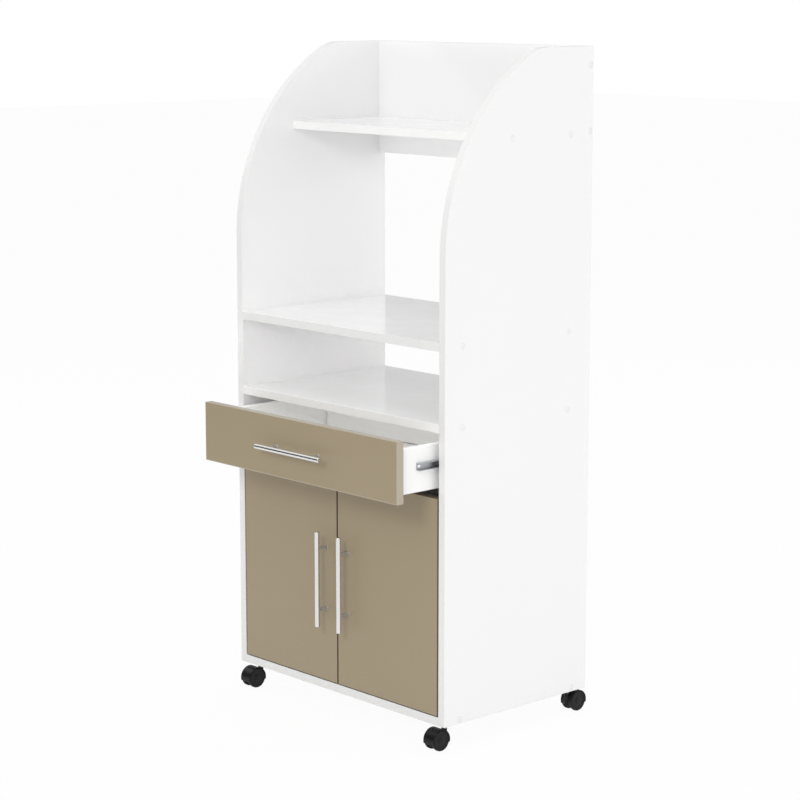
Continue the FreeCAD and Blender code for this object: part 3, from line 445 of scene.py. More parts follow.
@dataclass(frozen=True)
class Metal(Finish):
    """Metal with a grain drawn out along one axis, or none.

    Attributes:
        roughness: How satin it is.
        grain: Axis the brushing runs along, or None for plated metal.
        depth: Height of the grain, in metres.
    """

    roughness: float
    grain: Axis | None = None
    depth: float = 0.000002

    def sockets(self, recipe: Recipe) -> Sockets:
        """Grain and clouds in the reflection and its gloss.

        Args:
            recipe: The material's recipe.

        Returns:
            Values and wires of the shader's sockets.
        """
        stretch = [1.0 if self.grain is not axis else 0.015 for axis in Axis]
        scale = 2200.0 if self.grain else 420.0
        lines = recipe.noise(recipe.place(stretch), scale, detail=3.0)
        clouds = recipe.noise(recipe.place(), scale=45.0, detail=3.0)
        return {
            "Base Color": self.wander(recipe, lines * 0.65 + clouds * 0.35, 0.90, 1.08),
            "Metallic": 1.0,
            "Roughness": lines * 0.16 + clouds * 0.06 + (self.roughness - 0.11),
            "Normal": recipe.relief(lines, self.depth),
        }


@dataclass(frozen=True)
class Plastic(Finish):
    """Moulded plastic with a spark-eroded texture.

    Attributes:
        roughness: Its gloss.
        texture: Height of the texture, in metres.
        gloss: Strength of its reflections, 0 to 1.
    """

    roughness: float
    texture: float = 0.000012
    gloss: float = 0.5

    def sockets(self, recipe: Recipe) -> Sockets:
        """Scuffs in the colour and the gloss, and a fine grain in the relief.

        Args:
            recipe: The material's recipe.

        Returns:
            Values and wires of the shader's sockets.
        """
        spot = recipe.place()
        grain = recipe.noise(spot, scale=2400.0)
        scuffs = recipe.noise(spot, scale=120.0, detail=4.0, rough=0.6)
        return {
            "Base Color": self.wander(recipe, scuffs, 0.85, 1.2),
            "Roughness": scuffs * 0.14 + (self.roughness - 0.07),
            "Specular IOR Level": self.gloss,
            "Normal": recipe.relief(grain, self.texture),
        }


class Palette:
    """Every finish of the stand, made once each."""

    def __init__(self) -> None:
        """Makes the materials."""
        self.white = Foil("white_foil", srgb(246, 246, 246), roughness=0.20, coat=0.20).make()
        self.white_edge = EdgeStrip("white_edging", srgb(237, 237, 236)).make()
        self.taupe = Foil("taupe_foil", srgb(161, 146, 119),
                          roughness=0.34, coat=0.0, drift=0.02).make()
        # Drawer front's edging: partly the strip's own tone, partly painted light, lighter where its
        # edges catch the light.
        self.taupe_edge = EdgeStrip("taupe_edging", srgb(180, 170, 153)).make()
        # Doors' edging, darkened as painted shade so the gap between the doors and their edges read
        # dark.
        self.taupe_rim = EdgeStrip("taupe_rim", srgb(114, 102, 82), roughness=0.5).make()
        self.drawer_board = Foil("drawer_foil", srgb(250, 250, 249), roughness=0.34, coat=0.0).make()
        self.hardboard = Hardboard("painted_hardboard", srgb(238, 238, 236)).make()
        self.cap = Plastic("cap_plastic", srgb(238, 238, 238), roughness=0.4).make()
        self.nylon = Plastic("black_nylon", srgb(17, 17, 18), roughness=0.36, gloss=0.22).make()
        self.tread = Plastic("black_tread", srgb(15, 15, 16),
                             roughness=0.52, texture=0.00002, gloss=0.22).make()
        self.zinc = Metal("zinc_plate", srgb(184, 186, 189), roughness=0.36).make()
        self.cast = Metal("cast_zinc", srgb(172, 173, 175), roughness=0.42, depth=0.000008).make()
        self.pin = Metal("pin_steel", srgb(190, 190, 192), roughness=0.22).make()
        self.nickel = Metal("bright_nickel", srgb(250, 250, 250), roughness=0.18).make()
        self.blasted = Metal("blasted_steel", srgb(214, 215, 217),
                             roughness=0.55, depth=0.000006).make()
        self.bar_upright = Metal("satin_steel_upright", srgb(228, 228, 227),
                                 roughness=0.2, grain=Axis.Z).make()
        self.bar_level = Metal("satin_steel_level", srgb(228, 228, 227),
                               roughness=0.2, grain=Axis.X).make()
        self.post = Metal("satin_steel_post", srgb(210, 214, 220), roughness=0.45).make()


# ---------------------------------------------------------------- meshes

class Shape:
    """A mesh while it is being made, in the stand's frame."""

    def __init__(self) -> None:
        """Starts an empty mesh."""
        self.mesh = bmesh.new()

    @classmethod
    def block(cls, low: Vector, high: Vector) -> "Shape":
        """Rectangular block between two corners.

        Args:
            low: Its lowest corner.
            high: Its highest corner.

        Returns:
            The block.
        """
        shape = cls()
        size = Matrix.Diagonal((*(high - low), 1.0))
        bmesh.ops.create_cube(shape.mesh, size=1.0, matrix=Matrix.Translation((low + high) / 2) @ size)
        return shape

    @classmethod
    def turned(cls, profile: Profile, steps: int = 48) -> "Shape":
        """Solid turned about +Z.

        Args:
            profile: Corners as (radius, height), from axis to axis or closed by the caller.
            steps: Faces round the axis.

        Returns:
            The turned shape.
        """
        shape = cls()
        corners = [shape.mesh.verts.new((radius, 0.0, height)) for radius, height in profile]
        edges = [shape.mesh.edges.new(pair) for pair in zip(corners, corners[1:])]
        bmesh.ops.spin(shape.mesh, geom=corners + edges, axis=Axis.Z.vector, cent=Vector(),
                       steps=steps, angle=math.tau, use_merge=True)
        bmesh.ops.remove_doubles(shape.mesh, verts=shape.mesh.verts, dist=SAME_PLACE)
        return shape

    @classmethod
    def rod(cls, radius: float, low: float, high: float, steps: int = 48) -> "Shape":
        """Round rod about +Z, between two heights."""
        return cls.turned([(0.0, low), (radius, low), (radius, high), (0.0, high)], steps)

    @classmethod
    def disc(cls, face: Profile, radius: float, depth: float, steps: int = 40) -> "Shape":
        """Round disc about +Z with a shaped face.

        Args:
            face: The face's outline as (share of the radius, height), from the axis outwards.
            radius: The disc's radius.
            depth: How far it goes down from height 0.
            steps: Faces round the axis.

        Returns:
            The disc.
        """
        top = [(radius * share, height) for share, height in face]
        return cls.turned([*top, (radius, -depth), (0.0, -depth)], steps)

    @classmethod
    def of_node(cls, name: str) -> "Shape":
        """Merged copy of a CAD node, its flat faces made whole.

        Args:
            name: The node's name.

        Returns:
            The copy.
        """
        shape = cls()
        shape.mesh.from_mesh(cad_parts[name].data)
        bmesh.ops.remove_doubles(shape.mesh, verts=shape.mesh.verts, dist=SAME_PLACE)
        bmesh.ops.dissolve_limit(shape.mesh, angle_limit=FLAT_ANGLE, verts=shape.mesh.verts,
                                 edges=shape.mesh.edges, use_dissolve_boundaries=False)
        return shape

    def flat_faces(self, direction: Vector) -> list[bmesh.types.BMFace]:
        """Faces that look one way."""
        return [face for face in self.mesh.faces if face.normal.dot(direction) > SAME_WAY]

    def slice(self, axis: Axis, at: float, keep_below: bool = True) -> list[bmesh.types.BMEdge]:
        """Divides the faces at a plane.

        Args:
            axis: The plane's normal.
            at: Where it crosses the axis.
            keep_below: Whether what lies below it stays.

        Returns:
            The edges in the plane.
        """
        whole = [*self.mesh.verts, *self.mesh.edges, *self.mesh.faces]
        cut = bmesh.ops.bisect_plane(self.mesh, geom=whole, dist=SAME_PLACE, plane_co=axis.vector * at,
                                     plane_no=axis.vector, clear_inner=not keep_below)
        return edges_of(cut["geom_cut"])

    def soften(self, width: float, segments: int = 2,
               wanted: Callable[[bmesh.types.BMEdge], bool] | None = None) -> "Shape":
        """Rounds the sharp edges.

        Args:
            width: Size of the rounding, in metres.
            segments: Faces across it.
            wanted: Picks the edges to round; all sharp ones by default.

        Returns:
            The shape itself.
        """
        edges = [edge for edge in self.mesh.edges if edge.is_manifold
                 and edge.calc_face_angle(0.0) > SHARP_ANGLE and (wanted is None or wanted(edge))]
        bmesh.ops.bevel(self.mesh, geom=edges, offset=width, offset_type="OFFSET", affect="EDGES",
                        segments=segments, profile=0.5, material=-1, clamp_overlap=True)
        self.mesh.normal_update()
        return self

    def bore(self, centre: Vector, direction: Vector, radius: float, depth: float,
             margin: float = 0.0006, cuts: int = 7) -> "Shape":
        """Sinks a round pocket into the flat face around a point.

        Args:
            centre: Middle of the pocket's mouth, on the face.
            direction: The face's outward normal, along an axis.
            radius: The pocket's radius.
            depth: The pocket's depth.
            margin: Room kept round the mouth for its square of edges.
            cuts: Cuts in each quarter of the pocket's rim.

        Returns:
            The shape itself.
        """
        face = self.face_at(centre, direction)
        across = [axis.vector for axis in Axis if abs(axis.vector.dot(direction)) < 0.5]
        for way in across:
            for sign in (-1, 1):
                at = centre + way * sign * (radius + margin)
                parts = [face, *face.edges, *face.verts]
                bmesh.ops.bisect_plane(self.mesh, geom=parts, dist=SAME_PLACE, plane_co=at,
                                       plane_no=way)
                face = self.face_at(centre, direction)
        bmesh.ops.inset_individual(self.mesh, faces=[face], thickness=margin / 2, use_even_offset=True)
        bmesh.ops.subdivide_edges(self.mesh, edges=list(face.edges), cuts=cuts)
        mouth = self.face_at(centre, direction)
        for vert in mouth.verts:
            vert.co = centre + (vert.co - centre).normalized() * radius
        return self.extrude([mouth], -direction * depth)

    def face_at(self, spot: Vector, direction: Vector) -> bmesh.types.BMFace:
        """The flat face that a point lies in.

        Args:
            spot: The point.
            direction: The way the face looks.

        Returns:
            The face.
        """
        for face in self.flat_faces(direction):
            near = abs((face.verts[0].co - spot).dot(direction)) < SAME_LEVEL
            if near and bmesh.geometry.intersect_face_point(face, spot):
                return face
        raise ValueError(f"no face looks along {direction} at {spot}")

    def inlay(self, direction: Vector, width: float, groove: float = 0.00014) -> "Shape":
        """Draws the fine line where a face's foil meets the edging round it.

        Args:
            direction: Normal of the face.
            width: Thickness of the edging.
            groove: Width of each flank of the line, and twice its depth.

        Returns:
            The shape itself.
        """
        field = self.flat_faces(direction)
        for thickness, depth in ((width, 0.0), (groove, -groove / 2), (groove, groove / 2)):
            bmesh.ops.inset_region(self.mesh, faces=field, thickness=thickness, depth=depth,
                                   use_even_offset=True, use_boundary=True)
        return self

    def extrude(self, faces: Sequence[bmesh.types.BMFace], vector: Vector,
                keep: bool = False) -> "Shape":
        """Draws faces out along a vector.

        Args:
            faces: The faces.
            vector: How far they go.
            keep: Whether they also stay where they were, as the other side of a new solid.

        Returns:
            The shape itself.
        """
        made = bmesh.ops.extrude_face_region(self.mesh, geom=list(faces))["geom"]
        bmesh.ops.translate(self.mesh, verts=verts_of(made), vec=vector)
        if not keep:
            bmesh.ops.delete(self.mesh, geom=list(faces), context="FACES")
        self.mesh.normal_update()
        return self

    def thicken(self, vector: Vector) -> "Shape":
        """Draws a flat outline out to a solid along a vector.

        Args:
            vector: How far it goes.

        Returns:
            The shape itself.
        """
        self.extrude(list(self.mesh.faces), vector, keep=True)
        bmesh.ops.recalc_face_normals(self.mesh, faces=self.mesh.faces)
        self.mesh.normal_update()
        return self

    def aim(self, direction: Vector) -> "Shape":
        """Turns the shape so that its +Z points along a direction.

        Args:
            direction: The direction.

        Returns:
            The shape itself.
        """
        turn = Axis.Z.vector.rotation_difference(direction).to_matrix()
        bmesh.ops.rotate(self.mesh, verts=self.mesh.verts, cent=Vector(), matrix=turn)
        return self

    def move(self, vector: Vector) -> "Shape":
        """Shifts the shape."""
        bmesh.ops.translate(self.mesh, verts=self.mesh.verts, vec=vector)
        return self

    def mark(self, wanted: Callable[[bmesh.types.BMFace], bool]) -> "Shape":
        """Gives the faces that a test picks the second material, and the others the first.

        Args:
            wanted: The test.

        Returns:
            The shape itself.
        """
        for face in self.mesh.faces:
            face.material_index = int(wanted(face))
        return self

    def join(self, *others: "Shape") -> "Shape":
        """Takes other shapes into this one.

        Args:
            others: The shapes, used up by this.

        Returns:
            The shape itself.
        """
        for other in others:
            spare = bpy.data.meshes.new("joined")
            other.mesh.to_mesh(spare)
            other.mesh.free()
            self.mesh.from_mesh(spare)
            bpy.data.meshes.remove(spare)
        return self

    def place(self, name: str, materials: Sequence[bpy.types.Material]) -> bpy.types.Object:
        """Puts the mesh in the scene.

        Args:
            name: The object's name.
            materials: Its materials, in the order of the faces' material numbers.

        Returns:
            The object, at the origin.
        """
        data = bpy.data.meshes.new(name)
        self.mesh.to_mesh(data)
        self.mesh.free()
        for material in materials:
            data.materials.append(material)
        made = bpy.data.objects.new(name, data)
        bpy.context.scene.collection.objects.link(made)
        return made

    def finished(self, name: str, materials: Sequence[bpy.types.Material]) -> bpy.types.Object:
        """Puts the mesh in the scene with its faces shaded smooth between sharp edges.

        Args:
            name: The object's name.
            materials: Its materials, in the order of the faces' material numbers.

        Returns:
            The object, at the origin.
        """
        bmesh.ops.recalc_face_normals(self.mesh, faces=self.mesh.faces)
        for face in self.mesh.faces:
            face.smooth = True
        for edge in self.mesh.edges:
            edge.smooth = edge.is_manifold and edge.calc_face_angle(0.0) < SHARP_ANGLE
        made = self.place(name, materials)
        weighted = made.modifiers.new("even_shading", "WEIGHTED_NORMAL")
        weighted.keep_sharp = True
        return made


def verts_of(parts: Sequence[object]) -> list[bmesh.types.BMVert]:
    """The vertices among the parts of a mesh."""
    return [part for part in parts if isinstance(part, bmesh.types.BMVert)]


def edges_of(parts: Sequence[object]) -> list[bmesh.types.BMEdge]:
    """The edges among the parts of a mesh."""
    return [part for part in parts if isinstance(part, bmesh.types.BMEdge)]


# ---------------------------------------------------------------- fitting

def fit(shape: Shape, name: str, body: str, materials: Sequence[bpy.types.Material],
        stands_for: Sequence[str] = ()) -> None:
    """Puts a shape on the stand as one of its pieces.

    Args:
        shape: The shape, used up by this.
        name: The piece's name.
        body: The body it moves with.
        materials: Its materials.
        stands_for: The CAD nodes that it replaces.
    """
    piece = shape.finished(name, materials)
    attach(piece, body)
    if stands_for:
        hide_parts(*stands_for)
    LOG.info("%s on %s: %d faces", name, body, len(piece.data.polygons))


def dress(node: str, material: bpy.types.Material) -> None:
    """Gives a CAD node that keeps its own mesh a new material.

    Args:
        node: The CAD node's name.
        material: Its new material.
    """
    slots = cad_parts[node].data.materials
    slots.clear()
    slots.append(material)
    LOG.info("%s keeps its mesh", node)


def solids(node: str) -> list[Solid]:
    """Boxes of a node's separate solids.

    Args:
        node: The CAD node's name.

    Returns:
        The lowest and highest corner of each solid.
    """
    merged = Shape.of_node(node)
    waiting = set(merged.mesh.verts)
    boxes = []
    while waiting:
        found = {waiting.pop()}
        edge_of = list(found)
        while edge_of:
            vert = edge_of.pop()
            near = {edge.other_vert(vert) for edge in vert.link_edges} - found
            found |= near
            edge_of.extend(near)
        waiting -= found
        low = Vector([min(vert.co[number] for vert in found) for number in range(3)])
        high = Vector([max(vert.co[number] for vert in found) for number in range(3)])
        boxes.append((low, high))
    merged.mesh.free()
    return sorted(boxes, key=lambda box: tuple(round(value, 5) for value in box[0]))


def edge_axis(edge: bmesh.types.BMEdge) -> Axis | None:
    """The axis that an edge runs along, if any."""
    way = (edge.verts[1].co - edge.verts[0].co).normalized()
    return next((axis for axis in Axis if abs(way.dot(axis.vector)) > SAME_WAY), None)


def middle_of(solid: Solid) -> Vector:
    """Middle of a solid's box."""
    return (solid[0] + solid[1]) / 2


def radius_of(solid: Solid) -> float:
    """Radius of a round solid that lies level."""
    return (solid[1].z - solid[0].z) / 2


def outer_spot(solid: Solid, direction: Vector) -> Vector:
    """Middle of the side of a solid's box that looks one way."""
    half = (solid[1] - solid[0]) / 2
    return middle_of(solid) + direction * abs(half.dot(direction))


@dataclass
class Assembly:
    """Part of the stand whose pieces are made together.

    Attributes:
        palette: The stand's finishes.
    """

    palette: Palette

    def build(self) -> None:
        """Makes the pieces."""
        raise NotImplementedError


# ---------------------------------------------------------------- screws

@dataclass(frozen=True)
class CrossHead:
    """Screw with a domed head and a cross recess.

    Attributes:
        head: Radius of its head.
        proud: How far the dome rises over its seat.
        shank: Radius of its shank.
        length: Length under the seat.
        recess: Width of each slot of the cross.
        reach: Length of each arm of the cross.
        sink: Depth of the cross.
        steps: Faces round the screw.
        crown: Share of the head's radius round the cross that is flat.
        dome: Rings below the crown, as shares of the head's radius and of its height.
    """

    head: float
    proud: float
    shank: float
    length: float
    recess: float = 0.0007
    reach: float = 0.0011
    sink: float = 0.0009
    steps: int = 24
    crown: float = 0.62
    dome: Profile = ((0.86, 0.8), (0.97, 0.4), (1.0, 0.0), (1.0, -1.0))

    def shape(self) -> Shape:
        """Makes the screw with its seat at the origin and its head towards +Z.

        Returns:
            The screw.
        """
        made = Shape()
        mesh = made.mesh
        bmesh.ops.create_grid(mesh, x_segments=1, y_segments=1, size=self.recess / 2)
        for edge in list(mesh.edges):
            middle = (edge.verts[0].co + edge.verts[1].co) / 2
            tips = verts_of(bmesh.ops.extrude_edge_only(mesh, edges=[edge])["geom"])
            bmesh.ops.translate(mesh, verts=tips, vec=middle.normalized() * self.reach)
        cross = list(mesh.faces)
        bmesh.ops.translate(mesh, verts=mesh.verts, vec=Axis.Z.vector * self.proud)
        outline = [edge for edge in mesh.edges if len(edge.link_faces) == 1]
        ring = bmesh.ops.create_circle(mesh, cap_ends=False, radius=self.head * self.crown,
                                       segments=self.steps,
                                       matrix=Matrix.Translation((0.0, 0.0, self.proud)))
        rim = list(dict.fromkeys(edge for vert in ring["verts"] for edge in vert.link_edges))
        bmesh.ops.bridge_loops(mesh, edges=outline + rim)
        made.extrude(cross, Axis.Z.vector * -self.sink)
        rings = [(self.head * across, self.proud * up) for across, up in self.dome]
        for radius, height in (*rings, (self.shank, -self.proud), (self.shank, -self.length)):
            rim = self._ring_out(mesh, rim, radius, height)
        bmesh.ops.contextual_create(mesh, geom=rim)
        return made

    @staticmethod
    def _ring_out(mesh: bmesh.types.BMesh, rim: list[bmesh.types.BMEdge], radius: float,
                  height: float) -> list[bmesh.types.BMEdge]:
        """Draws a ring of edges to another radius and height.

        Args:
            mesh: The screw's mesh.
            rim: The ring.
            radius: Its new radius.
            height: Its new height.

        Returns:
            The new ring.
        """
        made = bmesh.ops.extrude_edge_only(mesh, edges=rim)["geom"]
        verts = verts_of(made)
        for vert in verts:
            flat = vert.co.xy.normalized() * radius
            vert.co = Vector((flat.x, flat.y, height))
        return [edge for edge in edges_of(made) if all(vert in verts for vert in edge.verts)]


@dataclass
class Fasteners(Assembly):
    """Screws, cams and caps, each at the place of its solid in the frame.

    Attributes:
        board_screw: Screw of the slides, the hinge plates and the hinge cups.
        arm_screw: Screw of a hinge's arm.
        runner_screw: Screw of a drawer runner.
        back_screw: Screw of the drawer's back.
        handle_screw: Screw of a handle's post.
        cam_face: Outline of a cam's face, as (share of its radius, height).
        cam_slot: Half of the bar across a cam's face: length as a share of the radius, width, height.
        cam_slot_edge: Rounding of that bar.
        cap_face: Outline of a cap's face, as (share of its radius, height).
        cap_depth: Thickness of a cap.
    """

    board_screw: CrossHead = CrossHead(head=0.0030, proud=0.0005, shank=0.0016, length=0.010)
    arm_screw: CrossHead = CrossHead(head=0.0036, proud=0.0004, shank=0.0019, length=0.004)
    runner_screw: CrossHead = CrossHead(head=0.0038, proud=0.0008, shank=0.0016, length=0.009)
    back_screw: CrossHead = CrossHead(head=0.0030, proud=0.0003, shank=0.0016, length=0.030)
    handle_screw: CrossHead = CrossHead(head=0.0040, proud=0.0009, shank=0.0019, length=0.020)
    cam_face: Profile = ((0.0, 0.0002), (0.3, 0.0002), (0.34, -0.0006), (0.72, -0.0006),
                         (0.78, 0.0002), (1.0, 0.0002))
    cam_slot: tuple[float, float, float] = (0.8, 0.0006, 0.0004)
    cam_slot_edge: float = 0.0002
    cap_face: Profile = ((0.0, -0.00005), (0.8, -0.00008), (0.97, -0.0002), (1.0, -0.0004))
    cap_depth: float = 0.0009

    def build(self) -> None:
        """Makes all fasteners that show, and dresses those inside the boards."""
        self.scatter("cabinet_hardware_screws", "cabinet", self.board_screw, self.inwards)
        self.scatter("hinge_arm_screws", "cabinet", self.arm_screw, self.inwards)
        self.scatter("drawer_runner_screws", "drawer", self.runner_screw, self.outwards,
                     self.palette.nickel)
        self.scatter("drawer_back_screws", "drawer", self.back_screw, self.outwards)
        self.scatter("drawer_handle_screws", "drawer", self.handle_screw, self.backwards)
        for side in Side:
            word, door = side.word, f"door_{side.word}"
            self.scatter(f"door_handle_screws_{word}", door, self.handle_screw, self.backwards)
            self.scatter(f"hinge_cup_screws_{word}", door, self.board_screw, self.backwards)
        self.cams()
        self.caps()
        for node in ("panel_screws", "drawer_cam_bolts", "castor_inserts"):
            dress(node, self.palette.zinc)

    @staticmethod
    def outwards(spot: Vector) -> Vector:
        """Direction away from the middle of the stand."""
        return Axis.X.vector * math.copysign(1.0, spot.x)

    @staticmethod
    def inwards(spot: Vector) -> Vector:
        """Direction towards the middle of the stand."""
        return -Fasteners.outwards(spot)

    @staticmethod
    def backwards(_: Vector) -> Vector:
        """Direction to the back, wherever the screw is."""
        return Axis.Y.vector

    def scatter(self, node: str, body: str, screw: CrossHead, facing: Callable[[Vector], Vector],
                metal: bpy.types.Material | None = None) -> None:
        """Puts a copy of a screw at each solid of a node.

        Args:
            node: The CAD node that the screws replace.
            body: The body they move with.
            screw: The screw.
            facing: Gives the way a head looks from where its screw is.
            metal: Its material; zinc plate by default.
        """
        group = Shape()
        for solid in solids(node):
            direction = facing(middle_of(solid))
            group.join(screw.shape().aim(direction).move(outer_spot(solid, direction)))
        fit(group, f"{node}_cross_head", body, [metal or self.palette.zinc], [node])

    def cams(self) -> None:
        """Makes the slotted cams in the drawer's sides."""
        group = Shape()
        for solid in solids("drawer_cam_locks"):
            direction = self.inwards(middle_of(solid))
            radius = radius_of(solid)
            share, width, height = self.cam_slot
            slot = Vector((radius * share, width, height))
            cam = Shape.disc(self.cam_face, radius, solid[1].x - solid[0].x)
            cam.join(Shape.block(-slot, slot).soften(self.cam_slot_edge))
            group.join(cam.aim(direction).move(outer_spot(solid, direction)))
        fit(group, "drawer_cams", "drawer", [self.palette.cast], ["drawer_cam_locks"])

    def caps(self) -> None:
        """Makes the press-in caps over the connecting screws."""
        group = Shape()
        for solid in solids("screw_caps"):
            direction = cap_facing(solid)
            cap = Shape.disc(self.cap_face, radius_of(solid), self.cap_depth)
            group.join(cap.aim(direction).move(outer_spot(solid, direction)))
        fit(group, "screw_cover_caps", "cabinet", [self.palette.cap], ["screw_caps"])


def cap_facing(solid: Solid) -> Vector:
    """The way a screw cap looks: it is thin that way, and sits in an outer face.

    Args:
        solid: The cap's box.

    Returns:
        Unit vector out of the board.
    """
    size = solid[1] - solid[0]
    across = Axis.X if size.x < size.y else Axis.Y
    return across.vector * math.copysign(1.0, middle_of(solid)[across.value])


# ---------------------------------------------------------------- boards

@dataclass
class Boards(Assembly):
    """Boards and what they have in common.

    Attributes:
        edging: Thickness of the edging strip.
        round_edge: Rounding of the edging's corners.
        sheet_edge: Rounding of thin hardboard.
    """

    edging: float = 0.0010
    round_edge: float = 0.0007
    sheet_edge: float = 0.0003

    def hardboard(self, node: str, name: str, body: str) -> None:
        """Makes a sheet of hardboard.

        Args:
            node: The CAD node that it replaces.
            name: The piece's name.
            body: The body it moves with.
        """
        low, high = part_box(node)
        sheet = Shape.block(low, high).soften(self.sheet_edge)
        fit(sheet, name, body, [self.palette.hardboard], [node])


@dataclass
class Cabinet(Boards):
    """Side panels, shelves and backs.

    Attributes:
        curve_radius: Radius of the large curve of a side panel.
        curve_blend: Radius of the small curve above it.
        curve_drop: Height of both curves together.
        curve_steps: Faces along the large and the small curve.
        cap_room: Gap round a screw cap.
        cap_seat: Depth of a cap's pocket.
        cap_margin: Room kept round a cap's pocket.
        row_gap: Least height between two rows of caps that a panel's face is divided in.
    """

    curve_radius: float = 0.410
    curve_blend: float = 0.090
    curve_drop: float = 0.373
    curve_steps: tuple[int, int] = (56, 14)
    cap_room: float = 0.00012
    cap_seat: float = 0.0010
    cap_margin: float = 0.0002
    row_gap: float = 0.05

    def build(self) -> None:
        """Makes every board of the cabinet."""
        for side in Side:
            self.side_panel(side)
        for node in ("bottom_panel", "lower_shelf", "microwave_shelf", "top_shelf"):
            self.shelf(node)
        self.upper_back()
        self.hardboard("lower_back_panel", "lower_back_board", "cabinet")

    def fit_board(self, shape: Shape, name: str, node: str) -> None:
        """Puts a white board with pale edging in the place of its node.

        Args:
            shape: The board.
            name: The piece's name.
            node: The CAD node that it replaces.
        """
        materials = [self.palette.white, self.palette.white_edge]
        fit(shape, name, "cabinet", materials, [node])

    def bore_caps(self, shape: Shape, caps: Sequence[Solid], direction: Vector) -> None:
        """Sinks a pocket for each screw cap in the face of a board.

        Args:
            shape: The board.
            caps: The boxes of the caps.
            direction: The way the face looks.
        """
        for cap in caps:
            shape.bore(outer_spot(cap, direction), direction, radius_of(cap) + self.cap_room,
                       self.cap_seat, self.cap_margin)

    def side_panel(self, side: Side) -> None:
        """Makes a side panel: its curved outline, drawn out to its thickness.

        Args:
            side: Which side it is on.
        """
        node = f"side_panel_{side.word}"
        low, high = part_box(node)
        shape = self.outline(low, high)
        shape.thicken(Axis.X.vector * (high.x - low.x))
        shape.soften(self.round_edge, segments=3).mark(lambda face: abs(face.normal.x) < SAME_WAY)
        caps = [cap for cap in solids("screw_caps") if cap_facing(cap).dot(side.outwards) > 0.5]
        rows = sorted({round(middle_of(cap).z, 3) for cap in caps})
        for lower, upper in zip(rows, rows[1:]):
            if upper - lower > self.row_gap:
                shape.slice(Axis.Z, (lower + upper) / 2)
        self.bore_caps(shape, caps, side.outwards)
        self.fit_board(shape, f"curved_side_{side.word}", node)

    def outline(self, low: Vector, high: Vector) -> Shape:
        """Flat face with a side panel's outline, at its low X.

        Args:
            low: The panel's lowest corner.
            high: The panel's highest corner.

        Returns:
            The face, ready to be drawn out along +X.
        """
        start_z = high.z - self.curve_drop
        offset = self.curve_radius - self.curve_blend
        rise = self.curve_drop - self.curve_blend
        run = math.sqrt(offset ** 2 - rise ** 2)
        sweep = math.atan2(rise, run)
        shape = Shape()
        mesh = shape.mesh
        corner = mesh.verts.new((low.x, low.y, start_z))
        big_centre = Vector((low.x, low.y + self.curve_radius, start_z))
        small_centre = big_centre + Vector((0.0, -run, rise))
        end = self._arc(mesh, corner, big_centre, -sweep, self.curve_steps[0])
        end = self._arc(mesh, end, small_centre, sweep - math.pi / 2, self.curve_steps[1])
        for spot in ((high.y, high.z), (high.y, low.z), (low.y, low.z)):
            following = mesh.verts.new((low.x, *spot))
            mesh.edges.new((end, following))
            end = following
        mesh.edges.new((end, corner))
        bmesh.ops.contextual_create(mesh, geom=mesh.edges[:])
        mesh.normal_update()
        return shape

    @staticmethod
    def _arc(mesh: bmesh.types.BMesh, start: bmesh.types.BMVert, centre: Vector, angle: float,
             steps: int) -> bmesh.types.BMVert:
        """Spins a vertex about X.

        Args:
            mesh: The panel's mesh.
            start: The arc's first vertex.
            centre: Middle of the arc.
            angle: Its angle.
            steps: Edges along it.

        Returns:
            The arc's last vertex.
        """
        made = bmesh.ops.spin(mesh, geom=[start], cent=centre, axis=Axis.X.vector, angle=angle,
                              steps=steps, use_merge=False)
        return verts_of(made["geom_last"])[0]

    def level_board(self, node: str) -> tuple[Shape, Vector]:
        """A board with its long edges rounded.

        Args:
            node: The CAD node that it replaces.

        Returns:
            The board and the lowest corner of its box.
        """
        low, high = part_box(node)
        shape = Shape.block(low, high)
        shape.soften(self.round_edge, segments=3, wanted=lambda edge: edge_axis(edge) is Axis.X)
        return shape, low

    def shelf(self, node: str) -> None:
        """Makes a shelf with edging along its front.

        Args:
            node: The CAD node that it replaces.
        """
        shape, low = self.level_board(node)
        shape.slice(Axis.Y, low.y + self.edging)
        shape.mark(lambda face: face.calc_center_median().y < low.y + self.edging)
        self.fit_board(shape, f"{node}_board", node)

    def upper_back(self) -> None:
        """Makes the thick back panel behind the top shelf."""
        shape, _ = self.level_board("upper_back_panel")
        shape.mark(lambda face: abs(face.normal.y) < 0.5 and abs(face.normal.z) > 0.5)
        caps = [cap for cap in solids("screw_caps") if cap_facing(cap).y > 0.5]
        self.bore_caps(shape, caps, Axis.Y.vector)
        self.fit_board(shape, "upper_back_board", "upper_back_panel")


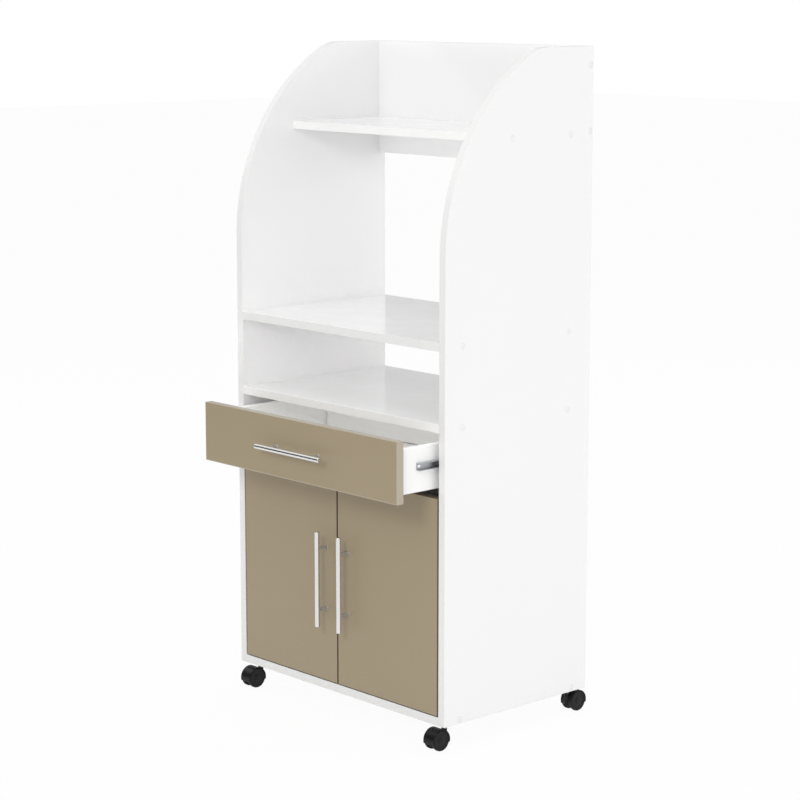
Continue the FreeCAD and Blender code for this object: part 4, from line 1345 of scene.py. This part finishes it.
@dataclass
class BarHandle:
    """Round bar on two posts.

    Attributes:
        bar: CAD node of the bar.
        posts: CAD node of its posts.
        body: The body it moves with.
        along: The bar's axis.
        steel: The bar's material.
        post_steel: The posts' material.
        rounding: Rounding of the bar's ends.
        foot: How much wider a post is where it meets the board.
        post_edge: Rounding of a post's edges.
    """

    bar: str
    posts: str
    body: str
    along: Axis
    steel: bpy.types.Material
    post_steel: bpy.types.Material
    rounding: float = 0.0009
    foot: float = 0.0004
    post_edge: float = 0.0001

    def build(self) -> None:
        """Makes the bar and its posts."""
        low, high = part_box(self.bar)
        length = (high - low)[self.along.value]
        radius = (high - low).y / 2
        start = (low + high) / 2 - self.along.vector * length / 2
        bar = Shape.rod(radius, 0.0, length, steps=64)
        bar.soften(self.rounding, segments=4).aim(self.along.vector).move(start)
        fit(bar, f"{self.bar}_round", self.body, [self.steel], [self.bar])
        group = Shape()
        for solid in solids(self.posts):
            group.join(self._post(solid, (low.y + high.y) / 2))
        fit(group, f"{self.posts}_round", self.body, [self.post_steel], [self.posts])

    def _post(self, solid: Solid, bar_y: float) -> Shape:
        """Makes one post, from the board's face into the bar.

        Args:
            solid: The box of its solid.
            bar_y: Where the bar's axis is.

        Returns:
            The post.
        """
        low, high = solid
        radius = min(high.x - low.x, high.z - low.z) / 2
        length, slim = high.y - bar_y, radius - self.foot
        post = Shape.turned([(0.0, 0.0), (radius, 0.0), (radius, self.foot), (slim, 2 * self.foot),
                             (slim, length), (0.0, length)], steps=40)
        return post.soften(self.post_edge).aim(-Axis.Y.vector).move(outer_spot(solid, Axis.Y.vector))


@dataclass
class Doors(Boards):
    """Both doors, with their edging darkened as painted shade, pockets for the hinge cups, and
    handles.

    Attributes:
        cup_flange: Width of the flange round a hinge cup.
        cup_room: Gap round a hinge cup.
        cup_floor: Gap under a hinge cup.
        cup_margin: Room kept round a cup's pocket.
        cup_cuts: Cuts in each quarter of its rim.
    """

    cup_flange: float = 0.0015
    cup_room: float = 0.0001
    cup_floor: float = 0.0002
    cup_margin: float = 0.0008
    cup_cuts: int = 48

    def build(self) -> None:
        """Makes the doors and their handles."""
        for side in Side:
            self.door(side)
            word = side.word
            BarHandle(f"door_handle_bar_{word}", f"door_handle_posts_{word}", f"door_{word}", Axis.Z,
                      self.palette.bar_upright, self.palette.post).build()

    def door(self, side: Side) -> None:
        """Makes one door.

        Args:
            side: Which side it is on.
        """
        node = f"door_{side.word}"
        low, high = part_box(node)
        shape = Shape.block(low, high).soften(self.round_edge, segments=3)
        shape.slice(Axis.Z, (low.z + high.z) / 2)
        for cup in solids(f"hinge_cups_{side.word}"):
            middle = middle_of(cup)
            radius = (cup[1].x - cup[0].x) / 2 - self.cup_flange + self.cup_room
            shape.bore(Vector((middle.x, high.y, middle.z)), Axis.Y.vector, radius,
                       high.y - cup[0].y + self.cup_floor, self.cup_margin, self.cup_cuts)
        shape.inlay(-Axis.Y.vector, self.edging).mark(lambda face: near_rim(face, low, high))
        # The faces in the edging take the darkened rim finish: painted shade for the gap between the
        # doors.
        fit(shape, f"{node}_board", node,
            [self.palette.taupe, self.palette.taupe_rim], [node])


def near_rim(face: bmesh.types.BMFace, low: Vector, high: Vector, reach: float = 0.0012) -> bool:
    """Whether a face of an upright board that looks along Y lies in its edging.

    Args:
        face: The face.
        low: The board's lowest corner.
        high: The board's highest corner.
        reach: How far the edging goes in from the rim.

    Returns:
        True within the edging.
    """
    spot = face.calc_center_median()
    return min(spot.x - low.x, high.x - spot.x, spot.z - low.z, high.z - spot.z) < reach


@dataclass
class Drawer(Boards):
    """Front, sides, back and bottom of the drawer, and its handle.

    Attributes:
        board_edge: Rounding of the thinner boards.
        corner_gap: Width of the slot in the drawer's rear corners.
        corner_depth: Depth of that slot.
        groove_room: Gap over the bottom in the back's groove.
        groove_end: Gap past the bottom's rear edge in that groove.
        back_edge: Rounding of the back.
        wall: Wood left between the groove and a corner's slot.
        cam_room: Gap round a cam.
        cam_floor: Gap under a cam.
    """

    board_edge: float = 0.0008
    corner_gap: float = 0.0028
    corner_depth: float = 0.0070
    groove_room: float = 0.0015
    groove_end: float = 0.00025
    back_edge: float = 0.0004
    wall: float = 0.0010
    cam_room: float = 0.0001
    cam_floor: float = 0.0002

    def build(self) -> None:
        """Makes the drawer."""
        low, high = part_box("drawer_front")
        front = Shape.block(low, high).soften(self.round_edge, segments=3)
        for direction in (-Axis.Y.vector, Axis.Y.vector):
            front.inlay(direction, self.edging)
        front.mark(lambda face: near_rim(face, low, high))
        # The faces in the edging take the lighter edge finish: partly its own tone, partly painted
        # light.
        fit(front, "drawer_front_board", "drawer",
            [self.palette.taupe, self.palette.taupe_edge], ["drawer_front"])
        for side in Side:
            self.side(side)
        self.back()
        self.hardboard("drawer_bottom", "drawer_bottom_board", "drawer")
        BarHandle("drawer_handle_bar", "drawer_handle_posts", "drawer", Axis.X,
                  self.palette.bar_level, self.palette.post).build()

    def back(self) -> None:
        """Makes the back board, with a narrow slot in each corner and a groove for the bottom."""
        low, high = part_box("drawer_back")
        slot = low + Vector((self.corner_gap, self.corner_depth, 0.0))
        right = high.x - self.corner_gap
        shape = Shape()
        corners = [shape.mesh.verts.new((*spot, low.z)) for spot in (
            (slot.x, low.y), (right, low.y), (right, slot.y), (high.x, slot.y), (high.x, high.y),
            (low.x, high.y), (low.x, slot.y), (slot.x, slot.y))]
        shape.mesh.faces.new(corners)
        shape.mesh.normal_update()
        shape.thicken(Axis.Z.vector * (high.z - low.z))
        bottom_low, bottom_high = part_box("drawer_bottom")
        groove_top = bottom_high.z + self.groove_room
        for axis, at in ((Axis.Z, bottom_low.z), (Axis.Z, groove_top),
                         (Axis.X, slot.x + self.wall), (Axis.X, right - self.wall)):
            shape.slice(axis, at)
        middle = Vector(((slot.x + right) / 2, low.y, (bottom_low.z + groove_top) / 2))
        groove = shape.face_at(middle, -Axis.Y.vector)
        shape.extrude([groove], Axis.Y.vector * (bottom_high.y - low.y + self.groove_end))
        fit(shape.soften(self.back_edge), "drawer_back_board", "drawer",
            [self.palette.drawer_board], ["drawer_back"])

    def side(self, side: Side) -> None:
        """Makes one side, with pockets for its cams.

        Args:
            side: Which side it is on.
        """
        node = f"drawer_side_{side.word}"
        low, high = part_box(node)
        shape = Shape.block(low, high).soften(self.board_edge, segments=3)
        for solid in solids("drawer_cam_locks"):
            if (solid[0].x > 0) == (side is Side.RIGHT):
                shape.bore(outer_spot(solid, -side.outwards), -side.outwards,
                           radius_of(solid) + self.cam_room, solid[1].x - solid[0].x + self.cam_floor)
        fit(shape, f"{node}_board", "drawer", [self.palette.drawer_board], [node])


# ---------------------------------------------------------------- metalwork

@dataclass
class SteelParts(Assembly):
    """Pressed steel parts, copied from the frame with their edges rounded.

    Attributes:
        press_edge: Rounding that a press leaves on thin sheet.
        plate_edge: Rounding of thicker plate.
    """

    press_edge: float = 0.0002
    plate_edge: float = 0.0004

    def build(self) -> None:
        """Makes slides and hinges."""
        for side in Side:
            word = side.word
            self.part(f"slide_rail_{word}", "cabinet", self.press_edge)
            self.part(f"drawer_runner_{word}", "drawer", self.press_edge)
            self.part(f"hinge_plates_{word}", "cabinet", self.plate_edge)
            self.part(f"hinge_arms_{word}", "cabinet", self.plate_edge)
            self.part(f"hinge_cups_{word}", f"door_{word}", self.press_edge)
            dress(f"ball_cage_{word}", self.palette.pin)
            dress(f"hinge_pins_{word}", self.palette.pin)

    def part(self, node: str, body: str, rounding: float) -> None:
        """Makes one part from its node."""
        fit(Shape.of_node(node).soften(rounding), f"{node}_pressed", body,
            [self.palette.zinc], [node])


# ---------------------------------------------------------------- castors

@dataclass
class Castors(Assembly):
    """Four twin-wheel castors: hood, two wheels on an axle, and a stem with a hexagon.

    Attributes:
        wheel: Radius of a wheel.
        tyre: Thickness of a wheel.
        gap: Distance between the middle of the castor and a wheel.
        hood: Radius of the hood.
        hood_half: Half of the hood's width.
        wall: Thickness of the hood's fender.
        block: Half of the thickness of the web between the wheels.
        boss: Radius of the boss that holds the stem.
        boss_drop: How far the boss ends below the stem's hexagon.
        axle: Radius of the axle.
        hub: Radius of a wheel's hub.
        rim: Width of the ring round a wheel's face.
        dish: Depth of the face inside that ring.
        tread: Thickness of the tread round a wheel.
        stem: Radius of the stem.
        hexagon: Width across the flats of the stem's hexagon.
        hexagon_gap: Gap between the hood and the hexagon.
        fillet: Rounding of the moulded edges.
        stem_edge: Rounding of the stem's ends.
        hexagon_edge: Rounding of the hexagon.
    """

    wheel: float = 0.020
    tyre: float = 0.0065
    gap: float = 0.0072
    hood: float = 0.0215
    hood_half: float = 0.014
    wall: float = 0.0010
    block: float = 0.0065
    boss: float = 0.0056
    boss_drop: float = 0.0060
    axle: float = 0.002
    hub: float = 0.0062
    rim: float = 0.0024
    dish: float = 0.0009
    tread: float = 0.0010
    stem: float = 0.004
    hexagon: float = 0.012
    hexagon_gap: float = 0.0003
    fillet: float = 0.0005
    stem_edge: float = 0.0003
    hexagon_edge: float = 0.0004

    def build(self) -> None:
        """Makes every castor."""
        for end in End:
            for side in Side:
                corner = f"{end.value}_{side.word}"
                self.make_hood(corner)
                self.make_wheels(corner)
        self.make_stems()

    @staticmethod
    def middle(corner: str) -> Vector:
        """Middle of a castor's wheels."""
        return middle_of(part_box(f"castor_wheels_{corner}"))

    def make_hood(self, corner: str) -> None:
        """Makes a hood: a turned fender cut off below, and a boss for the stem.

        Args:
            corner: The castor's corner of the stand.
        """
        node = f"castor_hood_{corner}"
        low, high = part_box(node)
        middle = self.middle(corner)
        inner = self.hood - self.wall
        half, block = self.hood_half, self.block
        drum = Shape.turned([(0.0, -block), (inner, -block), (inner, -half), (self.hood, -half),
                             (self.hood, half), (inner, half), (inner, block), (0.0, block)], steps=96)
        drum.aim(Axis.X.vector).move(middle)
        bmesh.ops.contextual_create(drum.mesh, geom=drum.slice(Axis.Z, low.z, keep_below=False))
        drum.mesh.normal_update()
        drum.soften(self.fillet, segments=3)
        stems = map(middle_of, solids("castor_stems"))
        stem = min(stems, key=lambda spot: (spot.xy - middle.xy).length)
        boss = Shape.rod(self.boss, 0.0, high.z - low.z - self.boss_drop)
        boss.soften(self.fillet, segments=3).move(Vector((stem.x, stem.y, low.z)))
        fit(drum.join(boss), f"{node}_moulded", f"castor_{corner}",
            [self.palette.nylon], [node])

    def make_wheels(self, corner: str) -> None:
        """Makes both wheels of a castor and the axle between them.

        Args:
            corner: The castor's corner of the stand.
        """
        node = f"castor_wheels_{corner}"
        middle = self.middle(corner)
        reach = self.gap + self.tyre / 2
        group = Shape.rod(self.axle, -reach, reach, steps=24).aim(Axis.X.vector).move(middle)
        for side in Side:
            wheel = Shape.turned(self.wheel_profile(), steps=96)
            wheel.mark(lambda face: face.calc_center_median().xy.length > self.wheel - self.tread)
            group.join(wheel.aim(side.outwards).move(middle + side.outwards * self.gap))
        fit(group, f"{node}_moulded", f"wheels_{corner}",
            [self.palette.nylon, self.palette.tread], [node])

    def wheel_profile(self) -> Profile:
        """Outline of a wheel with its outer face up.

        Returns:
            Its corners as (radius, height).
        """
        wheel, top, ring, hub = self.wheel, self.tyre, self.wheel - self.rim, self.hub
        floor = top - self.dish
        inner_edge = [(0.0, 0.0), (wheel - 0.0012, 0.0), (wheel - 0.0003, 0.0004), (wheel, 0.0013)]
        outer_edge = [(wheel, top - 0.0016), (wheel - 0.0004, top - 0.0006), (wheel - 0.0014, top)]
        step_down = [(ring, top), (ring - 0.0005, top - 0.0003), (ring - 0.0008, floor)]
        step_up = [(hub + 0.0030, floor - 0.0002), (hub + 0.0006, floor + 0.0001), (hub, top - 0.0003)]
        middle = [(hub - 0.0006, top - 0.00005), (hub - 0.0022, top - 0.0001), (0.0, top)]
        return inner_edge + outer_edge + step_down + step_up + middle

    def make_stems(self) -> None:
        """Makes the stems, each with a hexagon under the bottom panel."""
        group = Shape()
        panel_low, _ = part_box("bottom_panel")
        _, hood_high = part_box("castor_hood_front_left")
        start, corner = hood_high.z + self.hexagon_gap, self.hexagon / math.sqrt(3)
        for solid in solids("castor_stems"):
            middle = middle_of(solid)
            bolt = Shape.rod(self.stem, solid[0].z, solid[1].z, steps=32).soften(self.stem_edge)
            nut = Shape.rod(corner, start, panel_low.z, steps=6).soften(self.hexagon_edge)
            group.join(bolt.join(nut).move(Vector((middle.x, middle.y, 0.0))))
        fit(group, "castor_stem_bolts", "cabinet", [self.palette.blasted],
            ["castor_stems"])


# ---------------------------------------------------------------- studio

@dataclass
class Lamp:
    """Soft area lamp.

    Attributes:
        name: Its name.
        spot: Where it stands.
        size: Its width and height.
        power: Its power in watts.
        aim: The point that it shines at.
        only_on: Names of the only pieces that it lights; none for all.
        shaded_by: Names of more pieces that shade them, where it lights only some.
        mirrored: Whether glossy faces show its reflection.
        spread: Full angle of its beam in degrees.
    """

    name: str
    spot: tuple[float, float, float]
    size: tuple[float, float]
    power: float
    aim: tuple[float, float, float] = (0.0, 0.0, 0.65)
    only_on: tuple[str, ...] = ()
    shaded_by: tuple[str, ...] = ()
    mirrored: bool = True
    spread: float = 180.0

    def build(self) -> None:
        """Puts the lamp in the scene."""
        data = bpy.data.lights.new(self.name, "AREA")
        data.shape = "RECTANGLE"
        data.size, data.size_y = self.size
        data.energy = self.power
        data.spread = math.radians(self.spread)
        lamp = bpy.data.objects.new(self.name, data)
        lamp.location = self.spot
        lamp.rotation_mode = "QUATERNION"
        lamp.rotation_quaternion = (Vector(self.aim) - Vector(self.spot)).to_track_quat("-Z", "Y")
        lamp.visible_camera = False
        lamp.visible_glossy = self.mirrored
        bpy.context.scene.collection.objects.link(lamp)
        if self.only_on:
            lamp.light_linking.receiver_collection = group_of(f"{self.name}_lit", self.only_on)
            lamp.light_linking.blocker_collection = group_of(f"{self.name}_shade",
                                                             self.only_on + self.shaded_by)


def group_of(name: str, pieces: Sequence[str]) -> bpy.types.Collection:
    """Collection of pieces by their names.

    Args:
        name: The collection's name.
        pieces: The names of what goes into it.

    Returns:
        The collection.
    """
    group = bpy.data.collections.new(name)
    for piece in pieces:
        group.objects.link(bpy.data.objects[piece])
    return group


@dataclass
class Card:
    """Standing card of one tone, which only gloss and metal show.

    Attributes:
        name: Its name.
        spot: Middle of its foot.
        size: Its width and height.
        tone: Its lightness, 0 to 1.
    """

    name: str
    spot: tuple[float, float]
    size: tuple[float, float]
    tone: float

    def build(self) -> None:
        """Stands the card up, facing the stand."""
        material, recipe = new_material(f"{self.name}_paint")
        recipe.end(recipe.glow((self.tone, self.tone, self.tone, 1.0)))
        width, height = self.size
        shape = Shape()
        bmesh.ops.create_grid(shape.mesh, x_segments=1, y_segments=1, size=0.5)
        bmesh.ops.scale(shape.mesh, verts=shape.mesh.verts, vec=Vector((width, height, 1.0)))
        shape.aim(Axis.Y.vector)
        turn = Matrix.Rotation(math.atan2(self.spot[0], -self.spot[1]), 3, "Z")
        bmesh.ops.rotate(shape.mesh, verts=shape.mesh.verts, cent=Vector(), matrix=turn)
        shape.move(Vector((*self.spot, height / 2)))
        card = stage_piece(shape, self.name, material)
        card.visible_camera = False
        card.visible_diffuse = False
        card.visible_shadow = False


def stage_piece(shape: Shape, name: str, material: bpy.types.Material) -> bpy.types.Object:
    """Turns a shape into a part of the studio.

    Args:
        shape: The shape, used up by this.
        name: The object's name.
        material: Its material.

    Returns:
        The object.
    """
    made = shape.place(name, [material])
    return made


@dataclass
class Studio:
    """Pale floor, white surroundings and soft lamps.

    Attributes:
        floor_size: Side of the floor.
        floor_glow: Share of plain white in what the camera sees of the floor.
        ambient: Light from all round.
        lamps: The lamps.
        cards: The cards.
    """

    floor_size: float = 40.0
    floor_glow: float = 0.95
    ambient: float = 0.705
    lamps: tuple[Lamp, ...] = (
        Lamp("key_lamp", (1.6, -3.8, 2.7), (1.2, 1.2), power=45.0),
        Lamp("side_lamp", (4.0, 0.2, 1.1), (2.4, 1.8), power=21.0, mirrored=False),
        Lamp("back_lamp", (0.8, 4.0, 1.7), (3.0, 2.4), power=48.0, mirrored=False),
        Lamp("top_lamp", (0.1, -0.9, 4.0), (2.0, 2.0), power=14.0),
        Lamp("left_lamp", (-4.0, -0.8, 1.6), (2.4, 2.0), power=22.0),
        Lamp("drawer_lamp", (0.7, -1.1, 2.45), (0.8, 0.8), power=17.5, aim=(0.0, -0.1, 0.5),
             only_on=("drawer_side_left_board", "drawer_side_right_board", "drawer_back_board",
                      "drawer_bottom_board"), shaded_by=("drawer_front_board",), mirrored=False),
        Lamp("shelf_lamp", (1.6, -3.8, 2.7), (1.2, 1.2), power=35.0, aim=(0.0, 0.05, 0.62),
             only_on=("lower_shelf_board",), mirrored=False),
        Lamp("bay_lamp", (1.5, -2.6, 0.72), (0.6, 0.05), power=0.06, aim=(-0.18, 0.09, 0.685),
             only_on=("curved_side_left",), shaded_by=("microwave_shelf_board", "lower_shelf_board"),
             mirrored=False, spread=6.0),
        Lamp("top_shelf_lamp", (0.6, -1.2, 0.3), (0.8, 0.3), power=5.0, aim=(0.0, 0.2, 1.1),
             only_on=("top_shelf_board", "upper_back_board"), mirrored=False),
    )
    cards: tuple[Card, ...] = (
        Card("front_card", (-1.9, -2.1), (3.2, 1.9), tone=0.08),
        Card("rear_card", (-2.4, 2.2), (3.2, 2.6), tone=0.55),
    )

    def build(self) -> None:
        """Makes the floor, the world, the lamps and the cards."""
        self.floor()
        self.world()
        for item in (*self.lamps, *self.cards):
            item.build()
        bpy.context.scene.view_settings.view_transform = "Standard"

    def seen_directly(self, recipe: Recipe) -> Wire:
        """1 for rays that come from the camera, a mirror or glass.

        Args:
            recipe: The recipe of the material or world.

        Returns:
            The mask, 0 for all other rays.
        """
        path = recipe.node("LightPath")
        seen = recipe.wire(path, "Is Camera Ray")
        return seen.largest(recipe.wire(path, "Is Glossy Ray")).largest(
            recipe.wire(path, "Is Transmission Ray"))

    def floor(self) -> None:
        """Makes a plain pale floor that keeps the stand's shadow."""
        material, recipe = new_material("floor_paint")
        grain = recipe.noise(recipe.place(), scale=60.0, detail=3.0)
        paint = recipe.shader({
            "Base Color": recipe.blend(grain, srgb(233, 233, 233), srgb(236, 236, 236)),
            "Roughness": 0.85, "Specular IOR Level": 0.1})
        glow = recipe.glow(PLAIN_WHITE)
        share = self.seen_directly(recipe) * self.floor_glow
        recipe.end(recipe.output("MixShader", {}, {0: share, 1: paint, 2: glow}))
        shape = Shape()
        bmesh.ops.create_grid(shape.mesh, x_segments=8, y_segments=8, size=self.floor_size / 2)
        stage_piece(shape, "studio_floor", material)

    def world(self) -> None:
        """White surroundings to look at, softer as light."""
        world = bpy.data.worlds.new("studio_world")
        world.use_nodes = True
        recipe = Recipe(world.node_tree)
        strength = self.seen_directly(recipe) * (1.0 - self.ambient) + self.ambient
        sky = recipe.output("Background", {}, {"Color": PLAIN_WHITE, "Strength": strength})
        recipe.end(sky, "World")
        bpy.context.scene.world = world


@dataclass
class Viewpoint:
    """The camera.

    Attributes:
        spot: Where it stands.
        heading: Turn from +Y towards -X, in degrees.
        dip: Tilt below the horizon, in degrees.
        lens: Focal length in millimetres.
        sensor: Width of its sensor in millimetres.
    """

    spot: tuple[float, float, float] = (3.319, -2.9953, 1.404)
    heading: float = 47.67
    dip: float = 10.05
    lens: float = 105.26
    sensor: float = 36.0

    def build(self) -> None:
        """Puts the camera in the scene."""
        data = bpy.data.cameras.new("viewpoint")
        data.lens = self.lens
        data.sensor_width = self.sensor
        camera = bpy.data.objects.new("viewpoint", data)
        camera.location = self.spot
        camera.rotation_euler = (math.radians(90.0 - self.dip), 0.0, math.radians(self.heading))
        bpy.context.scene.collection.objects.link(camera)
        bpy.context.scene.camera = camera


def main() -> None:
    """Builds the stand and its studio."""
    logging.basicConfig(level=logging.INFO, format="%(message)s")
    Viewpoint().build()
    palette = Palette()
    for assembly in (Cabinet, Doors, Drawer, SteelParts, Fasteners, Castors):
        assembly(palette).build()
    Studio().build()


if __name__ == "__main__":
    main()
